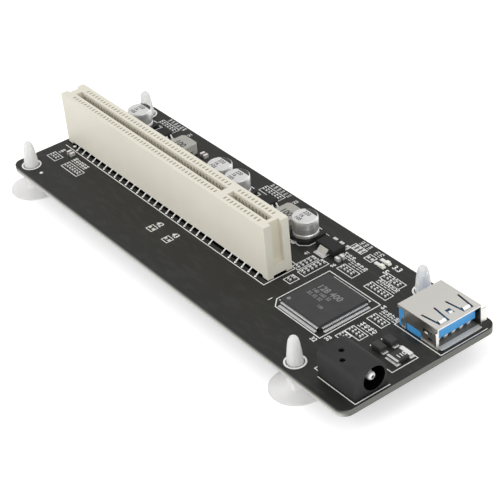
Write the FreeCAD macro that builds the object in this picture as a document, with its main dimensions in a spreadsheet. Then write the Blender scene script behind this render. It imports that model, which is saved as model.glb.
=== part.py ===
# Adapter board: a card slot, the bridge chip that drives it, its supplies, a cable socket and a power jack,
# on four push-in feet. Millimetres; X runs along the board, Y across it to the far edge, Z up from the table.
import FreeCAD, Part
import os
import re
import Sketcher

SIZES = {
    # Board: its length and width follow from the slot and the strips left around it
    "board_thickness": 1.6,
    "board_corner": 2.6,
    "front_margin": 16.8,
    "rear_margin": 19.13,
    "slot_margin": 1.0,
    "bay_length": 31.95,
    # Push-in feet
    "foot_inset": 4.35,
    "foot_from_right": 19.6,
    "foot_side_inset": 3.4,
    "foot_hole": 4.0,
    "foot_neck": 2.6,
    "foot_drop": 5.4,
    "foot_rim": 12.5,
    "foot_rim_height": 0.6,
    "foot_shoulder": 4.6,
    "foot_rise": 6.9,
    "foot_barb": 4.2,
    "foot_barb_gap": 0.1,
    "foot_waist": 3.6,
    "foot_waist_height": 3.6,
    "foot_tip": 2.8,
    "foot_tip_height": 0.9,
    "foot_nose": 1.5,
    "foot_shave": 0.05,
    # Card slot housing
    "slot_width": 6.9,
    "slot_height": 14.16,
    "slot_wall_left": 3.3,
    "slot_wall_right": 2.23,
    "slot_standoff": 1.5,
    "slot_foot_length": 2.0,
    "slot_foot_width": 1.6,
    "card_gap": 1.8,
    "card_depth": 9.4,
    "key_rib": 2.1,
    "cavity_width": 0.5,
    "cavity_reach": 2.55,
    "mouth_strip": 0.65,
    "mouth_strip_height": 0.9,
    "mouth_strip_lap": 0.4,
    "trench_reach": 2.9,
    "trench_rise": 0.8,
    "card_rail": 1.4,
    "recess_width": 2.9,
    "recess_depth": 1.1,
    "recess_bottom": 3.2,
    # Slot contacts
    "contact_pitch": 1.27,
    "contact_inset": 1.2,
    "long_count": 49,
    "key_count": 2,
    "short_count": 11,
    "contact_play": 0.07,
    "contact_thickness": 0.3,
    "contact_bow": 0.18,
    "contact_top": 1.9,
    "contact_root": 4.6,
    "tail_inner": 1.95,
    "tail_outer": 4.45,
    "tail_knee_gap": 0.1,
    # Bridge chip
    "chip_from_slot": 15.4,
    "chip_offset": 0.25,
    "chip_span": 16.0,
    "chip_height": 1.5,
    "chip_standoff": 0.1,
    "chip_bevel": 0.14,
    "chip_leads": 32,
    "chip_lead_reach": 1.2,
    "chip_corner": 0.6,
    "chip_lead_width": 0.18,
    "chip_lead_thickness": 0.14,
    "chip_lead_exit": 0.62,
    "chip_lead_foot": 0.55,
    # Can capacitors
    "can_diameter": 6.3,
    "can_height": 5.6,
    "can_base": 6.6,
    "can_base_height": 0.9,
    "can_base_corner": 1.3,
    "can_lead_width": 0.7,
    "can_lead_reach": 0.8,
    "can_lead_gap": 1.6,
    "can_lead_thickness": 0.2,
    "can_1_x": 9.1,
    "can_1_back": 8.5,
    "can_2_x": 45.8,
    "can_2_back": 9.3,
    "can_3_x": 53.1,
    "can_3_back": 9.4,
    "can_4_x": 78.3,
    "can_4_back": 8.6,
    # Power inductors
    "coil_side": 6.6,
    "coil_height": 3.0,
    "coil_corner": 0.7,
    "coil_terminal_width": 2.6,
    "coil_terminal_thickness": 0.2,
    "coil_terminal_reach": 1.4,
    "coil_terminal_height": 1.5,
    "coil_1_x": 27.4,
    "coil_2_x": 71.1,
    "coil_back": 8.5,
    # Eight-lead converter chips
    "converter_length": 4.9,
    "converter_span": 6.0,
    "converter_height": 1.6,
    "converter_standoff": 0.15,
    "converter_bevel": 0.25,
    "converter_leads": 4,
    "converter_lead_pitch": 1.27,
    "converter_lead_reach": 1.05,
    "converter_lead_width": 0.42,
    "converter_lead_thickness": 0.2,
    "converter_lead_exit": 0.7,
    "converter_lead_foot": 0.6,
    "converter_1_x": 17.2,
    "converter_2_x": 61.8,
    "converter_back": 8.0,
    # Linear regulator
    "regulator_x": 0.0,
    "regulator_back": 7.9,
    "regulator_length": 6.5,
    "regulator_height": 1.65,
    "regulator_standoff": 0.08,
    "regulator_bevel": 0.2,
    "regulator_span": 7.0,
    "regulator_leads": 3,
    "regulator_lead_pitch": 2.3,
    "regulator_lead_reach": 1.75,
    "regulator_lead_width": 0.75,
    "regulator_tab_width": 3.0,
    "regulator_lead_thickness": 0.26,
    "regulator_lead_exit": 0.75,
    "regulator_lead_foot": 0.9,
    # Small chip parts
    "bead_length": 1.0,
    "bead_width": 0.5,
    "bead_height": 0.4,
    "bead_step": 1.15,
    "block_length": 2.0,
    "block_width": 1.25,
    "block_height": 0.9,
    "block_1_x": 7.5,
    "block_1_y": 13.4,
    "block_2_x": 32.8,
    "block_2_back": 5.2,
    "block_3_x": 4.9,
    "block_3_back": 9.2,
    "lamp_length": 1.7,
    "lamp_width": 0.9,
    "lamp_base_height": 0.35,
    "lamp_lens_length": 1.0,
    "lamp_height": 0.7,
    "lamp_x": 13.7,
    "lamp_back": 4.2,
    "lamp_step": 1.75,
    "lamp_count": 2,
    # Diodes and fuse, measured from the right edge and from the cable socket's side
    "diode_from_right": 10.9,
    "diode_from_socket": 5.2,
    "diode_step": 3.1,
    "diode_count": 2,
    "diode_length": 2.9,
    "diode_width": 1.9,
    "diode_height": 1.25,
    "diode_bevel": 0.15,
    "diode_span": 3.9,
    "diode_lead_gap": 1.4,
    "diode_lead_width": 0.9,
    "diode_lead_thickness": 0.2,
    "fuse_from_right": 5.8,
    "fuse_from_socket": 7.0,
    "fuse_length": 4.5,
    "fuse_width": 3.3,
    "fuse_height": 0.8,
    "fuse_terminal": 0.6,
    "fuse_terminal_plate": 0.1,
    # Cable socket
    "socket_setback": 1.75,
    "socket_side_inset": 3.0,
    "socket_length": 12.5,
    "socket_width": 12.5,
    "socket_height": 5.65,
    "socket_wall": 0.3,
    "socket_fit": 0.05,
    "socket_block": 3.2,
    "socket_base_length": 7.2,
    "socket_base_height": 2.2,
    "socket_tongue_width": 10.7,
    "socket_tongue_thickness": 1.85,
    "socket_tongue_bottom": 2.75,
    "socket_tongue_setback": 1.1,
    "socket_finger_offset": 3.4,
    "socket_finger_root": 3.2,
    "socket_finger_end": 1.9,
    "socket_finger_length": 4.9,
    "socket_finger_start": 6.3,
    "socket_finger_slit": 0.42,
    "socket_notch": 1.9,
    "socket_notch_top": 0.7,
    "socket_latch_length": 1.8,
    "socket_latch_width": 1.3,
    "socket_latch_start": 8.5,
    "socket_window_length": 2.9,
    "socket_window_height": 2.2,
    "socket_window_start": 7.9,
    "socket_window_bottom": 1.5,
    "socket_lip": 0.7,
    "socket_lip_inset": 1.0,
    "socket_ear_near": 0.5,
    "socket_ear_far": 1.4,
    "socket_ear_height": 3.4,
    "socket_leg_width": 1.3,
    "socket_leg_rear": 1.7,
    "socket_leg_front": 8.6,
    "socket_leg_proud": 0.8,
    "socket_leg_clearance": 0.1,
    "pin_width": 0.34,
    "pin_thickness": 0.22,
    "pin_proud": 0.9,
    "pin_clearance": 0.1,
    "pin_rear": 1.0,
    "pin_row_gap": 1.2,
    "signal_pitch": 2.5,
    "signal_count": 4,
    "signal_setback": 0.8,
    "lane_pitch": 2.2,
    "lane_count": 5,
    "lane_setback": 4.2,
    # Power jack
    "jack_setback": 1.3,
    "jack_side_inset": 4.3,
    "jack_length": 11.8,
    "jack_width": 8.7,
    "jack_height": 6.4,
    "jack_round_near": 1.2,
    "jack_round_far": 2.4,
    "jack_bore": 5.7,
    "jack_bore_offset": 0.95,
    "jack_bore_depth": 9.4,
    "jack_vent": 1.3,
    "jack_vent_1_x": 3.5,
    "jack_vent_1_offset": -0.6,
    "jack_vent_2_x": 6.1,
    "jack_vent_2_offset": -2.5,
    "jack_vent_depth": 0.9,
    "jack_pin": 2.0,
    "jack_pin_setback": 1.9,
    "jack_pin_fit": 0.05,
    "jack_plate_thickness": 0.4,
    "jack_plate_width": 2.0,
    "jack_plate_height": 4.6,
    "jack_plate_proud": 1.0,
    "jack_plate_clearance": 0.1,
    "jack_spring_width": 1.6,
    "jack_spring_thickness": 0.25,
    "jack_spring_start": 2.9,
    "jack_spring_length": 5.6,
    "jack_spring_crown": 0.75,
    "jack_spring_seat": 0.1,
    "jack_spring_slack": 0.2,
}

# Sizes and places worked out from the driving ones
WORKED_OUT = {
    "board_top": "foot_drop + board_thickness",
    "slot_run": "(long_count + key_count + short_count - 1) * contact_pitch",
    "slot_length": "slot_wall_left + slot_wall_right + 2 * contact_inset + slot_run",
    "board_length": "slot_margin + slot_length + bay_length + socket_length + socket_setback",
    "board_width": "front_margin + slot_width + rear_margin",
    "left_edge": "-(board_length + foot_inset - foot_rim / 2) / 2",
    "right_edge": "left_edge + board_length",
    "near_edge": "-board_width / 2",
    "far_edge": "board_width / 2",
    "slot_left": "left_edge + slot_margin",
    "slot_right": "slot_left + slot_length",
    "slot_center": "near_edge + front_margin + slot_width / 2",
    "foot_right": "board_length - foot_from_right",
    "foot_far": "board_width - foot_side_inset",
    "first_contact": "slot_wall_left + contact_inset",
    "key_center": "first_contact + (long_count + (key_count - 1) / 2) * contact_pitch",
    "card_floor": "slot_height - card_depth",
    "tail_knee": "slot_standoff - tail_knee_gap",
    "tail_slope": "tail_knee / (tail_outer - tail_inner)",
    "tail_lift": "contact_thickness * (sqrt(1 + tail_slope ^ 2) - tail_slope)",
    "contact_tip": "card_gap / 2 - contact_bow",
    "contact_width": "cavity_width - 2 * contact_play",
    "chip_side": "chip_span - 2 * chip_lead_reach",
    "chip_lead_pitch": "(chip_side - 2 * chip_corner) / (chip_leads - 1)",
    "converter_width": "converter_span - 2 * converter_lead_reach",
    "regulator_width": "regulator_span - 2 * regulator_lead_reach",
    "socket_left": "right_edge - socket_setback - socket_length",
    "socket_center": "far_edge - socket_side_inset - socket_width / 2",
    "socket_near_side": "socket_center - socket_width / 2",
    "socket_inner": "socket_width / 2 - socket_wall",
    "pin_end": "-(board_thickness + pin_proud)",
    "jack_left": "right_edge - jack_setback - jack_length",
    "jack_center": "near_edge + jack_side_inset + jack_width / 2",
    "jack_axis": "jack_height / 2",
    "jack_floor": "jack_length - jack_bore_depth",
}

# Rows of contacts on one side of the slot: tail row, first position and number of contacts
CONTACT_ROWS = (
    ("tail_inner", "0", "ceil(long_count / 2)"),
    ("tail_outer", "1", "floor(long_count / 2)"),
    ("tail_outer", "long_count + key_count", "ceil(short_count / 2)"),
    ("tail_inner", "long_count + key_count + 1", "floor(short_count / 2)"),
)

# Rows of chip parts right of the slot, from its right end and centre line: first place and number of parts
RIGHT_ROWS = (
    (26.2, 4.9, 4),
    (26.2, -1.3, 4),
    (26.2, -3.9, 2),
    (7.6, 11.9, 4),
    (16.9, 11.9, 6),
    (16.9, 16.6, 5),
)

# Rows of chip parts beside the slot, from the left and near edges: first place and number of parts
LEFT_ROWS = (
    (4.0, 9.9, 3),
    (11.0, 9.9, 6),
    (10.9, 39.4, 6),
    (55.7, 39.4, 6),
)

# Stacks of chip parts from the slot's right end and centre line: first place and number of parts
STACKS = (
    (0.5, 4.7, 5),
    (3.1, 4.2, 6),
    (3.1, 0.2, 2),
)

# Flat sides round a foot's head and round a small vent
FLAT_SIDES = 8

# Each row and stack has its own cells
BANKS = {"right_row": RIGHT_ROWS, "left_row": LEFT_ROWS, "stack": STACKS}
for bank, places in BANKS.items():
    for index, place in enumerate(places, start=1):
        SIZES |= zip([f"{bank}_{index}_{item}" for item in ("x", "y", "count")], place)

WORD = re.compile(r"[a-z][a-z0-9_]*")
parts = []

doc = FreeCAD.newDocument("AdapterBoard")
sheet = doc.addObject("Spreadsheet::Sheet", "Sizes")
for line, (alias, value) in enumerate(SIZES.items(), start=1):
    sheet.set(f"A{line}", alias)
    sheet.set(f"B{line}", str(value))
    sheet.setAlias(f"B{line}", alias)
doc.recompute()


def formula(text):
    """Write out the worked-out sizes of a formula and point each driving size at its cell."""

    def cell(match):
        word = match.group()
        if word in WORKED_OUT:
            return f"({formula(WORKED_OUT[word])})"
        return f"Sizes.{word}" if word in SIZES else word

    return WORD.sub(cell, str(text))


def number(text):
    """The present value of a formula."""
    return float(sheet.evalExpression(formula(text)))


def part(label, x, y, z="board_top"):
    """A sub-part with its own frame, placed on the board."""
    body = doc.addObject("PartDesign::Body", label)
    body.Label = label
    for axis, text in zip("xyz", (x, y, z)):
        body.setExpression(f"Placement.Base.{axis}", formula(text))
    parts.append(body)
    return body


def origin_feature(body, role):
    """One of the body's own origin planes or axes."""
    return next(item for item in body.Origin.OriginFeatures if item.Role == role)


def new_sketch(body, role, level):
    """An empty sketch on one of the body's planes, moved to a level along +X, +Y or +Z."""
    sketch = body.newObject("Sketcher::SketchObject", "Outline")
    sketch.AttachmentSupport = (origin_feature(body, role), "")
    sketch.MapMode = "FlatFace"
    side = "-1" if role == "XZ_Plane" else "1"
    sketch.setExpression("AttachmentOffset.Base.z", formula(f"{side} * ({level})"))
    return sketch


def hold(sketch, kind, geometry, point, text):
    """Hold one coordinate or size of a sketch to a formula."""
    if kind in ("DistanceX", "DistanceY"):
        constraint = Sketcher.Constraint(kind, -1, 1, geometry, point, number(text))
    else:
        constraint = Sketcher.Constraint(kind, geometry, number(text))
    index = sketch.addConstraint(constraint)
    sketch.setExpression(f"Constraints[{index}]", formula(text))


def outline(body, role, corners, level="0"):
    """A closed outline with each corner held by two formulas."""
    sketch = new_sketch(body, role, level)
    points = [FreeCAD.Vector(number(u), number(v), 0) for u, v in corners]
    for start, end in zip(points, points[1:] + points[:1]):
        sketch.addGeometry(Part.LineSegment(start, end), False)
    for index, (u, v) in enumerate(corners):
        following = (index + 1) % len(corners)
        sketch.addConstraint(Sketcher.Constraint("Coincident", index, 2, following, 1))
        hold(sketch, "DistanceX", index, 1, u)
        hold(sketch, "DistanceY", index, 1, v)
    return sketch


def rectangle(left, right, low, high):
    """The corners of a rectangle, in order."""
    return ((left, low), (right, low), (right, high), (left, high))


def centered(u, v, width, height):
    """The corners of a rectangle about a point."""
    return rectangle(
        f"{u} - ({width}) / 2", f"{u} + ({width}) / 2", f"{v} - ({height}) / 2", f"{v} + ({height}) / 2"
    )


def extrude(body, sketch, depth, cut):
    """Add or remove an outline's prism, half of its depth to each side of the outline."""
    feature = body.newObject("PartDesign::Pocket" if cut else "PartDesign::Pad", "Cut" if cut else "Block")
    feature.Profile = sketch
    feature.SideType = "Symmetric"
    feature.setExpression("Length", formula(depth))
    return feature


def prism(body, role, corners, middle, depth, cut=False):
    """A prism about the level of its middle."""
    return extrude(body, outline(body, role, corners, middle), depth, cut)


def slab(body, corners, bottom, top, cut=False):
    """An upright prism between two heights."""
    return prism(body, "XY_Plane", corners, f"(({bottom}) + ({top})) / 2", f"({top}) - ({bottom})", cut)


def drum(body, role, u, v, diameter, middle, depth, cut=False):
    """A cylinder about the level of its middle."""
    sketch = new_sketch(body, role, middle)
    center = FreeCAD.Vector(number(u), number(v), 0)
    circle = Part.Circle(center, FreeCAD.Vector(0, 0, 1), number(diameter) / 2)
    sketch.addGeometry(circle, False)
    hold(sketch, "DistanceX", 0, 3, u)
    hold(sketch, "DistanceY", 0, 3, v)
    hold(sketch, "Diameter", 0, 0, diameter)
    return extrude(body, sketch, depth, cut)


def row(body, feature, axis, spacing, count):
    """Repeat a feature along one of the body's axes."""
    pattern = body.newObject("PartDesign::LinearPattern", "Row")
    pattern.Originals = [feature]
    pattern.Direction = (origin_feature(body, axis), [""])
    pattern.Mode = "Spacing"
    pattern.setExpression("Offset", formula(spacing))
    pattern.setExpression("Occurrences", formula(count))
    body.Tip = pattern
    return pattern


def dress_edges(body, kind, size, wanted):
    """Round or bevel the edges of the body so far that pass a test."""
    doc.recompute()
    base = body.Tip
    names = [f"Edge{index}" for index, edge in enumerate(base.Shape.Edges, start=1) if wanted(edge)]
    feature = body.newObject(f"PartDesign::{kind}", kind)
    feature.Base = (base, names)
    feature.setExpression("Radius" if kind == "Fillet" else "Size", formula(size))


def upright(edge):
    """Whether an edge runs straight up."""
    return max(edge.BoundBox.XLength, edge.BoundBox.YLength) < 1e-6


def rim_at(height):
    """A test for the edges that lie level at a height."""
    level = number(height)

    def lies_there(edge):
        return edge.BoundBox.ZLength < 1e-6 and abs(edge.BoundBox.ZMin - level) < 1e-6

    return lies_there


def flat_sided(u, v, width):
    """The corners of an even outline with FLAT_SIDES sides, as wide across its flats as stated."""
    half_turn = 180 / FLAT_SIDES
    radius = f"({width}) / (2 * cos({half_turn}))"
    turns = [half_turn * (2 * step + 1) for step in range(FLAT_SIDES)]
    return [(f"{u} + {radius} * cos({turn})", f"{v} + {radius} * sin({turn})") for turn in turns]


def contact_x(position):
    """How far along the housing a contact stands."""
    return f"first_contact + ({position}) * contact_pitch"


def make_board():
    """The board: rounded plate with its foot, socket and jack holes."""
    board = part("circuit_board", "left_edge", "near_edge")
    slab(board, rectangle("0", "board_length", "0", "board_width"), "-board_thickness", "0")
    dress_edges(board, "Fillet", "board_corner", upright)
    middle = "-board_thickness / 2"
    through = "2 * board_thickness"

    def hole(corners):
        return prism(board, "XY_Plane", corners, middle, through, cut=True)

    for x in ("foot_inset", "foot_right"):
        for y in ("foot_side_inset", "foot_far"):
            drum(board, "XY_Plane", x, y, "foot_hole", middle, through, cut=True)
    socket_x = "board_length - socket_setback - socket_length"
    socket_y = "board_width - socket_side_inset - socket_width / 2"
    for leg in ("socket_leg_rear", "socket_leg_front"):
        for side in (-1, 1):
            y = f"{socket_y} + {side} * (socket_width - socket_wall) / 2"
            width = "socket_leg_width + 2 * socket_leg_clearance"
            depth = "socket_wall + 2 * socket_leg_clearance"
            hole(centered(f"{socket_x} + {leg}", y, width, depth))
    for pitch, count, x in (
        ("signal_pitch", "signal_count", "pin_rear"),
        ("lane_pitch", "lane_count", "pin_rear + pin_row_gap"),
    ):
        first = f"{socket_y} - ({count} - 1) / 2 * {pitch}"
        width = "pin_thickness + 2 * pin_clearance"
        pin_hole = hole(centered(f"{socket_x} + {x}", first, width, "pin_width + 2 * pin_clearance"))
        row(board, pin_hole, "Y_Axis", pitch, count)
    jack_x = "board_length - jack_setback - jack_length"
    jack_y = "jack_side_inset + jack_width / 2 + jack_bore_offset"
    for x, thickness, width in (
        ("-jack_plate_thickness / 2", "jack_plate_thickness", "jack_plate_width"),
        ("jack_spring_start + jack_spring_thickness / 2", "jack_spring_thickness", "jack_spring_width"),
    ):
        clear = "2 * jack_plate_clearance"
        hole(centered(f"{jack_x} + {x}", jack_y, f"{thickness} + {clear}", f"{width} + {clear}"))


def make_slot():
    """The card slot: housing on its corner feet, with cavities, key rib and end recesses."""
    housing = part("slot_housing", "slot_left", "slot_center")
    half = "slot_width / 2"
    slab(housing, rectangle("0", "slot_length", f"-{half}", half), "0", "slot_height")
    far_out = "slot_length - slot_foot_length"
    between_feet = rectangle("slot_foot_length", far_out, "-slot_width", "slot_width")
    slab(housing, between_feet, "-slot_standoff", "slot_standoff", cut=True)
    gate = f"{half} - slot_foot_width"
    end_gate = rectangle("-slot_foot_length", "slot_length + slot_foot_length", f"-({gate})", gate)
    slab(housing, end_gate, "-slot_standoff", "slot_standoff", cut=True)
    last = "slot_length - slot_wall_right"
    runs = (
        ("slot_wall_left", "key_center - key_rib / 2"),
        ("key_center + key_rib / 2", last),
    )
    for start, end in runs:
        gap = rectangle(start, end, "-card_gap / 2", "card_gap / 2")
        slab(housing, gap, "card_floor", "slot_height + card_gap", cut=True)
    for low, high in (("-trench_reach", "-card_rail / 2"), ("card_rail / 2", "trench_reach")):
        trench = rectangle("slot_wall_left", last, low, high)
        slab(housing, trench, "0", "card_floor + trench_rise", cut=True)
    for position, count in (("0", "long_count"), ("long_count + key_count", "short_count")):
        mouth = centered(contact_x(position), "0", "cavity_width", "2 * cavity_reach")
        floor = "card_floor + trench_rise / 2"
        cavity = slab(housing, mouth, floor, "slot_height + card_gap", cut=True)
        row(housing, cavity, "X_Axis", "contact_pitch", count)
    strip_ends = ("slot_wall_left - mouth_strip_lap", f"{last} + mouth_strip_lap")
    inner = "card_gap / 2"
    outer = f"{inner} + mouth_strip"
    for low, high in ((f"-({outer})", f"-({inner})"), (inner, outer)):
        strip = rectangle(*strip_ends, low, high)
        slab(housing, strip, "slot_height - mouth_strip_height", "slot_height")
    for end in ("0", "slot_length"):
        recess = centered(end, "0", "2 * recess_depth", "recess_width")
        slab(housing, recess, "recess_bottom", "slot_height + card_gap", cut=True)


def contact_outline(tail, side):
    """A contact strip seen from its end: sprung tip, straight root and tail down to the board."""
    inside = "tail_inner - contact_thickness / 2"
    outside = "tail_inner + contact_thickness / 2"
    tip = "slot_height - contact_top"
    front = [("contact_tip", tip), (inside, "contact_root")]
    back = [(outside, "contact_root"), ("contact_tip + contact_thickness", tip)]
    if tail == "tail_inner":
        path = front + [(inside, "0"), (outside, "0")] + back
    else:
        pin_in = "tail_outer - contact_thickness / 2"
        pin_out = "tail_outer + contact_thickness / 2"
        path = front + [(inside, "tail_knee"), (pin_in, "0"), (pin_out, "0")]
        path += [(outside, "tail_knee + tail_lift")] + back
    return [(f"{side} * ({u})", v) for u, v in path]


def make_contacts():
    """The contacts of both sides, each a strip with its tail in one of two staggered rows."""
    for label, side in (("slot_contacts_near", -1), ("slot_contacts_far", 1)):
        strips = part(label, "slot_left", "slot_center")
        for tail, position, count in CONTACT_ROWS:
            corners = contact_outline(tail, side)
            strip = prism(strips, "YZ_Plane", corners, contact_x(position), "contact_width")
            row(strips, strip, "X_Axis", "2 * contact_pitch", count)


def lead_outline(body_half, span_half, exit_height, thickness, foot):
    """A bent lead seen from its end: neck at the moulding, slope and foot on the board."""
    heel = f"{span_half} - {foot}"
    return [
        (body_half, exit_height),
        (heel, "0"),
        (span_half, "0"),
        (span_half, thickness),
        (f"{heel} + {thickness}", thickness),
        (body_half, f"{exit_height} + 2 * {thickness}"),
    ]


def mirrored(corners):
    """The same outline on the other side of the vertical."""
    return [(f"-({u})", v) for u, v in corners]


def moulding(label, x, y, length, width, standoff, height, bevel):
    """A moulded chip body with its top edges bevelled."""
    body = part(label, x, y)
    slab(body, centered("0", "0", length, width), standoff, height)
    dress_edges(body, "Chamfer", bevel, rim_at(height))


def make_bridge_chip():
    """The bridge chip: square moulding and leads on four sides."""
    place = ("slot_right + chip_from_slot", "slot_center + chip_offset")
    sizes = ("chip_side", "chip_side", "chip_standoff", "chip_height", "chip_bevel")
    moulding("bridge_chip_body", *place, *sizes)
    leads = part("bridge_chip_leads", *place)
    corners = [
        ("chip_side / 2", "chip_lead_exit"),
        ("chip_span / 2 - chip_lead_foot", "0"),
        ("chip_span / 2", "0"),
        ("chip_side / 2", "chip_lead_exit + 2 * chip_lead_thickness"),
    ]
    first = "-(chip_leads - 1) / 2 * chip_lead_pitch"
    for role, axis in (("YZ_Plane", "X_Axis"), ("XZ_Plane", "Y_Axis")):
        for side in (corners, mirrored(corners)):
            lead = prism(leads, role, side, first, "chip_lead_width")
            row(leads, lead, axis, "chip_lead_pitch", "chip_leads")


def make_can(index):
    """A can capacitor: can, square base with two cut corners, two flat leads."""
    place = (f"left_edge + can_{index}_x", f"far_edge - can_{index}_back")
    base = part(f"capacitor_{index}_base", *place)
    half = "can_base / 2"
    cut = f"{half} - can_base_corner"
    corners = (
        (f"-({cut})", f"-{half}"),
        (cut, f"-{half}"),
        (half, f"-({cut})"),
        (half, half),
        (f"-{half}", half),
        (f"-{half}", f"-({cut})"),
    )
    slab(base, corners, "can_lead_thickness", "can_base_height")
    can = part(f"capacitor_{index}_can", *place)
    middle = "(can_base_height + can_height) / 2"
    drum(can, "XY_Plane", "0", "0", "can_diameter", middle, "can_height - can_base_height")
    leads = part(f"capacitor_{index}_leads", *place)
    reach = f"{half} + can_lead_reach"
    for start, end in ((f"-({reach})", "-can_lead_gap / 2"), ("can_lead_gap / 2", reach)):
        strip = rectangle("-can_lead_width / 2", "can_lead_width / 2", start, end)
        slab(leads, strip, "0", "can_lead_thickness")


def make_coil(index):
    """A power inductor: moulded block on two terminals that turn up its ends."""
    place = (f"left_edge + coil_{index}_x", "far_edge - coil_back")
    core = part(f"inductor_{index}_body", *place)
    plate = "coil_terminal_thickness"
    slab(core, centered("0", "0", f"coil_side - 2 * {plate}", "coil_side"), plate, "coil_height")
    dress_edges(core, "Chamfer", "coil_corner", upright)
    terminals = part(f"inductor_{index}_terminals", *place)
    end = "coil_side / 2"
    corners = [
        (f"{end} - coil_terminal_reach", "0"),
        (end, "0"),
        (end, "coil_terminal_height"),
        (f"{end} - {plate}", "coil_terminal_height"),
        (f"{end} - {plate}", plate),
        (f"{end} - coil_terminal_reach", plate),
    ]
    for side in (corners, mirrored(corners)):
        prism(terminals, "XZ_Plane", side, "0", "coil_terminal_width")


def make_converter(index):
    """An eight-lead chip, its leads to the left and right."""
    place = (f"left_edge + converter_{index}_x", "far_edge - converter_back")
    moulding(
        f"converter_{index}_body",
        *place,
        "converter_width",
        "converter_length",
        "converter_standoff",
        "converter_height",
        "converter_bevel",
    )
    leads = part(f"converter_{index}_leads", *place)
    corners = lead_outline(
        "converter_width / 2",
        "converter_span / 2",
        "converter_lead_exit",
        "converter_lead_thickness",
        "converter_lead_foot",
    )
    first = "-(converter_leads - 1) / 2 * converter_lead_pitch"
    for side in (corners, mirrored(corners)):
        lead = prism(leads, "XZ_Plane", side, first, "converter_lead_width")
        row(leads, lead, "Y_Axis", "converter_lead_pitch", "converter_leads")


def make_regulator():
    """The linear regulator: moulding, three leads to the far side and a wide tab to the near side."""
    place = ("slot_right + regulator_x", "far_edge - regulator_back")
    moulding(
        "regulator_body",
        *place,
        "regulator_length",
        "regulator_width",
        "regulator_standoff",
        "regulator_height",
        "regulator_bevel",
    )
    leads = part("regulator_leads", *place)
    corners = lead_outline(
        "regulator_width / 2",
        "regulator_span / 2",
        "regulator_lead_exit",
        "regulator_lead_thickness",
        "regulator_lead_foot",
    )
    first = "-(regulator_leads - 1) / 2 * regulator_lead_pitch"
    lead = prism(leads, "YZ_Plane", corners, first, "regulator_lead_width")
    row(leads, lead, "X_Axis", "regulator_lead_pitch", "regulator_leads")
    prism(leads, "YZ_Plane", mirrored(corners), "0", "regulator_tab_width")


def make_chip_parts():
    """Banks of tiny chip parts, three larger ceramic blocks and the two indicator lamps."""
    for label, bank, axis, x, y, length, width in (
        ("chip_capacitors", "right_row", "X_Axis", "slot_right", "slot_center", "bead_width", "bead_length"),
        ("chip_resistors", "left_row", "X_Axis", "left_edge", "near_edge", "bead_width", "bead_length"),
        ("chip_resistor_stacks", "stack", "Y_Axis", "slot_right", "slot_center", "bead_length", "bead_width"),
    ):
        group = part(label, x, y)
        for index in range(1, len(BANKS[bank]) + 1):
            name = f"{bank}_{index}"
            bead = slab(group, centered(f"{name}_x", f"{name}_y", length, width), "0", "bead_height")
            row(group, bead, axis, "bead_step", f"{name}_count")
    for index, x, y, length, width in (
        (1, "left_edge + block_1_x", "near_edge + block_1_y", "block_length", "block_width"),
        (2, "left_edge + block_2_x", "far_edge - block_2_back", "block_length", "block_width"),
        (3, "slot_right + block_3_x", "far_edge - block_3_back", "block_width", "block_length"),
    ):
        block = part(f"ceramic_capacitor_{index}", x, y)
        slab(block, centered("0", "0", length, width), "0", "block_height")
    lamps = part("indicator_lamps", "slot_right + lamp_x", "far_edge - lamp_back")
    half = "lamp_length / 2"
    lens = "lamp_lens_length / 2"
    corners = (
        (f"-{half}", "0"),
        (half, "0"),
        (half, "lamp_base_height"),
        (lens, "lamp_base_height"),
        (lens, "lamp_height"),
        (f"-{lens}", "lamp_height"),
        (f"-{lens}", "lamp_base_height"),
        (f"-{half}", "lamp_base_height"),
    )
    lamp = prism(lamps, "XZ_Plane", corners, "0", "lamp_width")
    row(lamps, lamp, "Y_Axis", "lamp_step", "lamp_count")


def make_diodes_and_fuse():
    """Two moulded diodes and the fuse between the sockets."""
    place = ("right_edge - diode_from_right", "socket_near_side - diode_from_socket - diode_step")
    bodies = part("diode_bodies", *place)
    shape = centered("0", "0", "diode_length", "diode_width")
    lead_plate = "diode_lead_thickness"
    block = slab(bodies, shape, lead_plate, "diode_height")
    row(bodies, block, "Y_Axis", "diode_step", "diode_count")
    dress_edges(bodies, "Chamfer", "diode_bevel", rim_at("diode_height"))
    leads = part("diode_leads", *place)
    for start, end in (("-diode_span / 2", "-diode_lead_gap / 2"), ("diode_lead_gap / 2", "diode_span / 2")):
        strip = rectangle(start, end, "-diode_lead_width / 2", "diode_lead_width / 2")
        row(leads, slab(leads, strip, "0", lead_plate), "Y_Axis", "diode_step", "diode_count")
    place = ("right_edge - fuse_from_right", "socket_near_side - fuse_from_socket")
    plate = "fuse_terminal_plate"
    body = part("fuse_body", *place)
    core = centered("0", "0", f"fuse_width - 2 * {plate}", "fuse_length - 2 * fuse_terminal")
    slab(body, core, plate, "fuse_height")
    terminals = part("fuse_terminals", *place)
    for side in (-1, 1):
        y = f"{side} * (fuse_length - fuse_terminal) / 2"
        slab(terminals, centered("0", y, "fuse_width", "fuse_terminal"), "0", f"fuse_height + {plate}")


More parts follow.
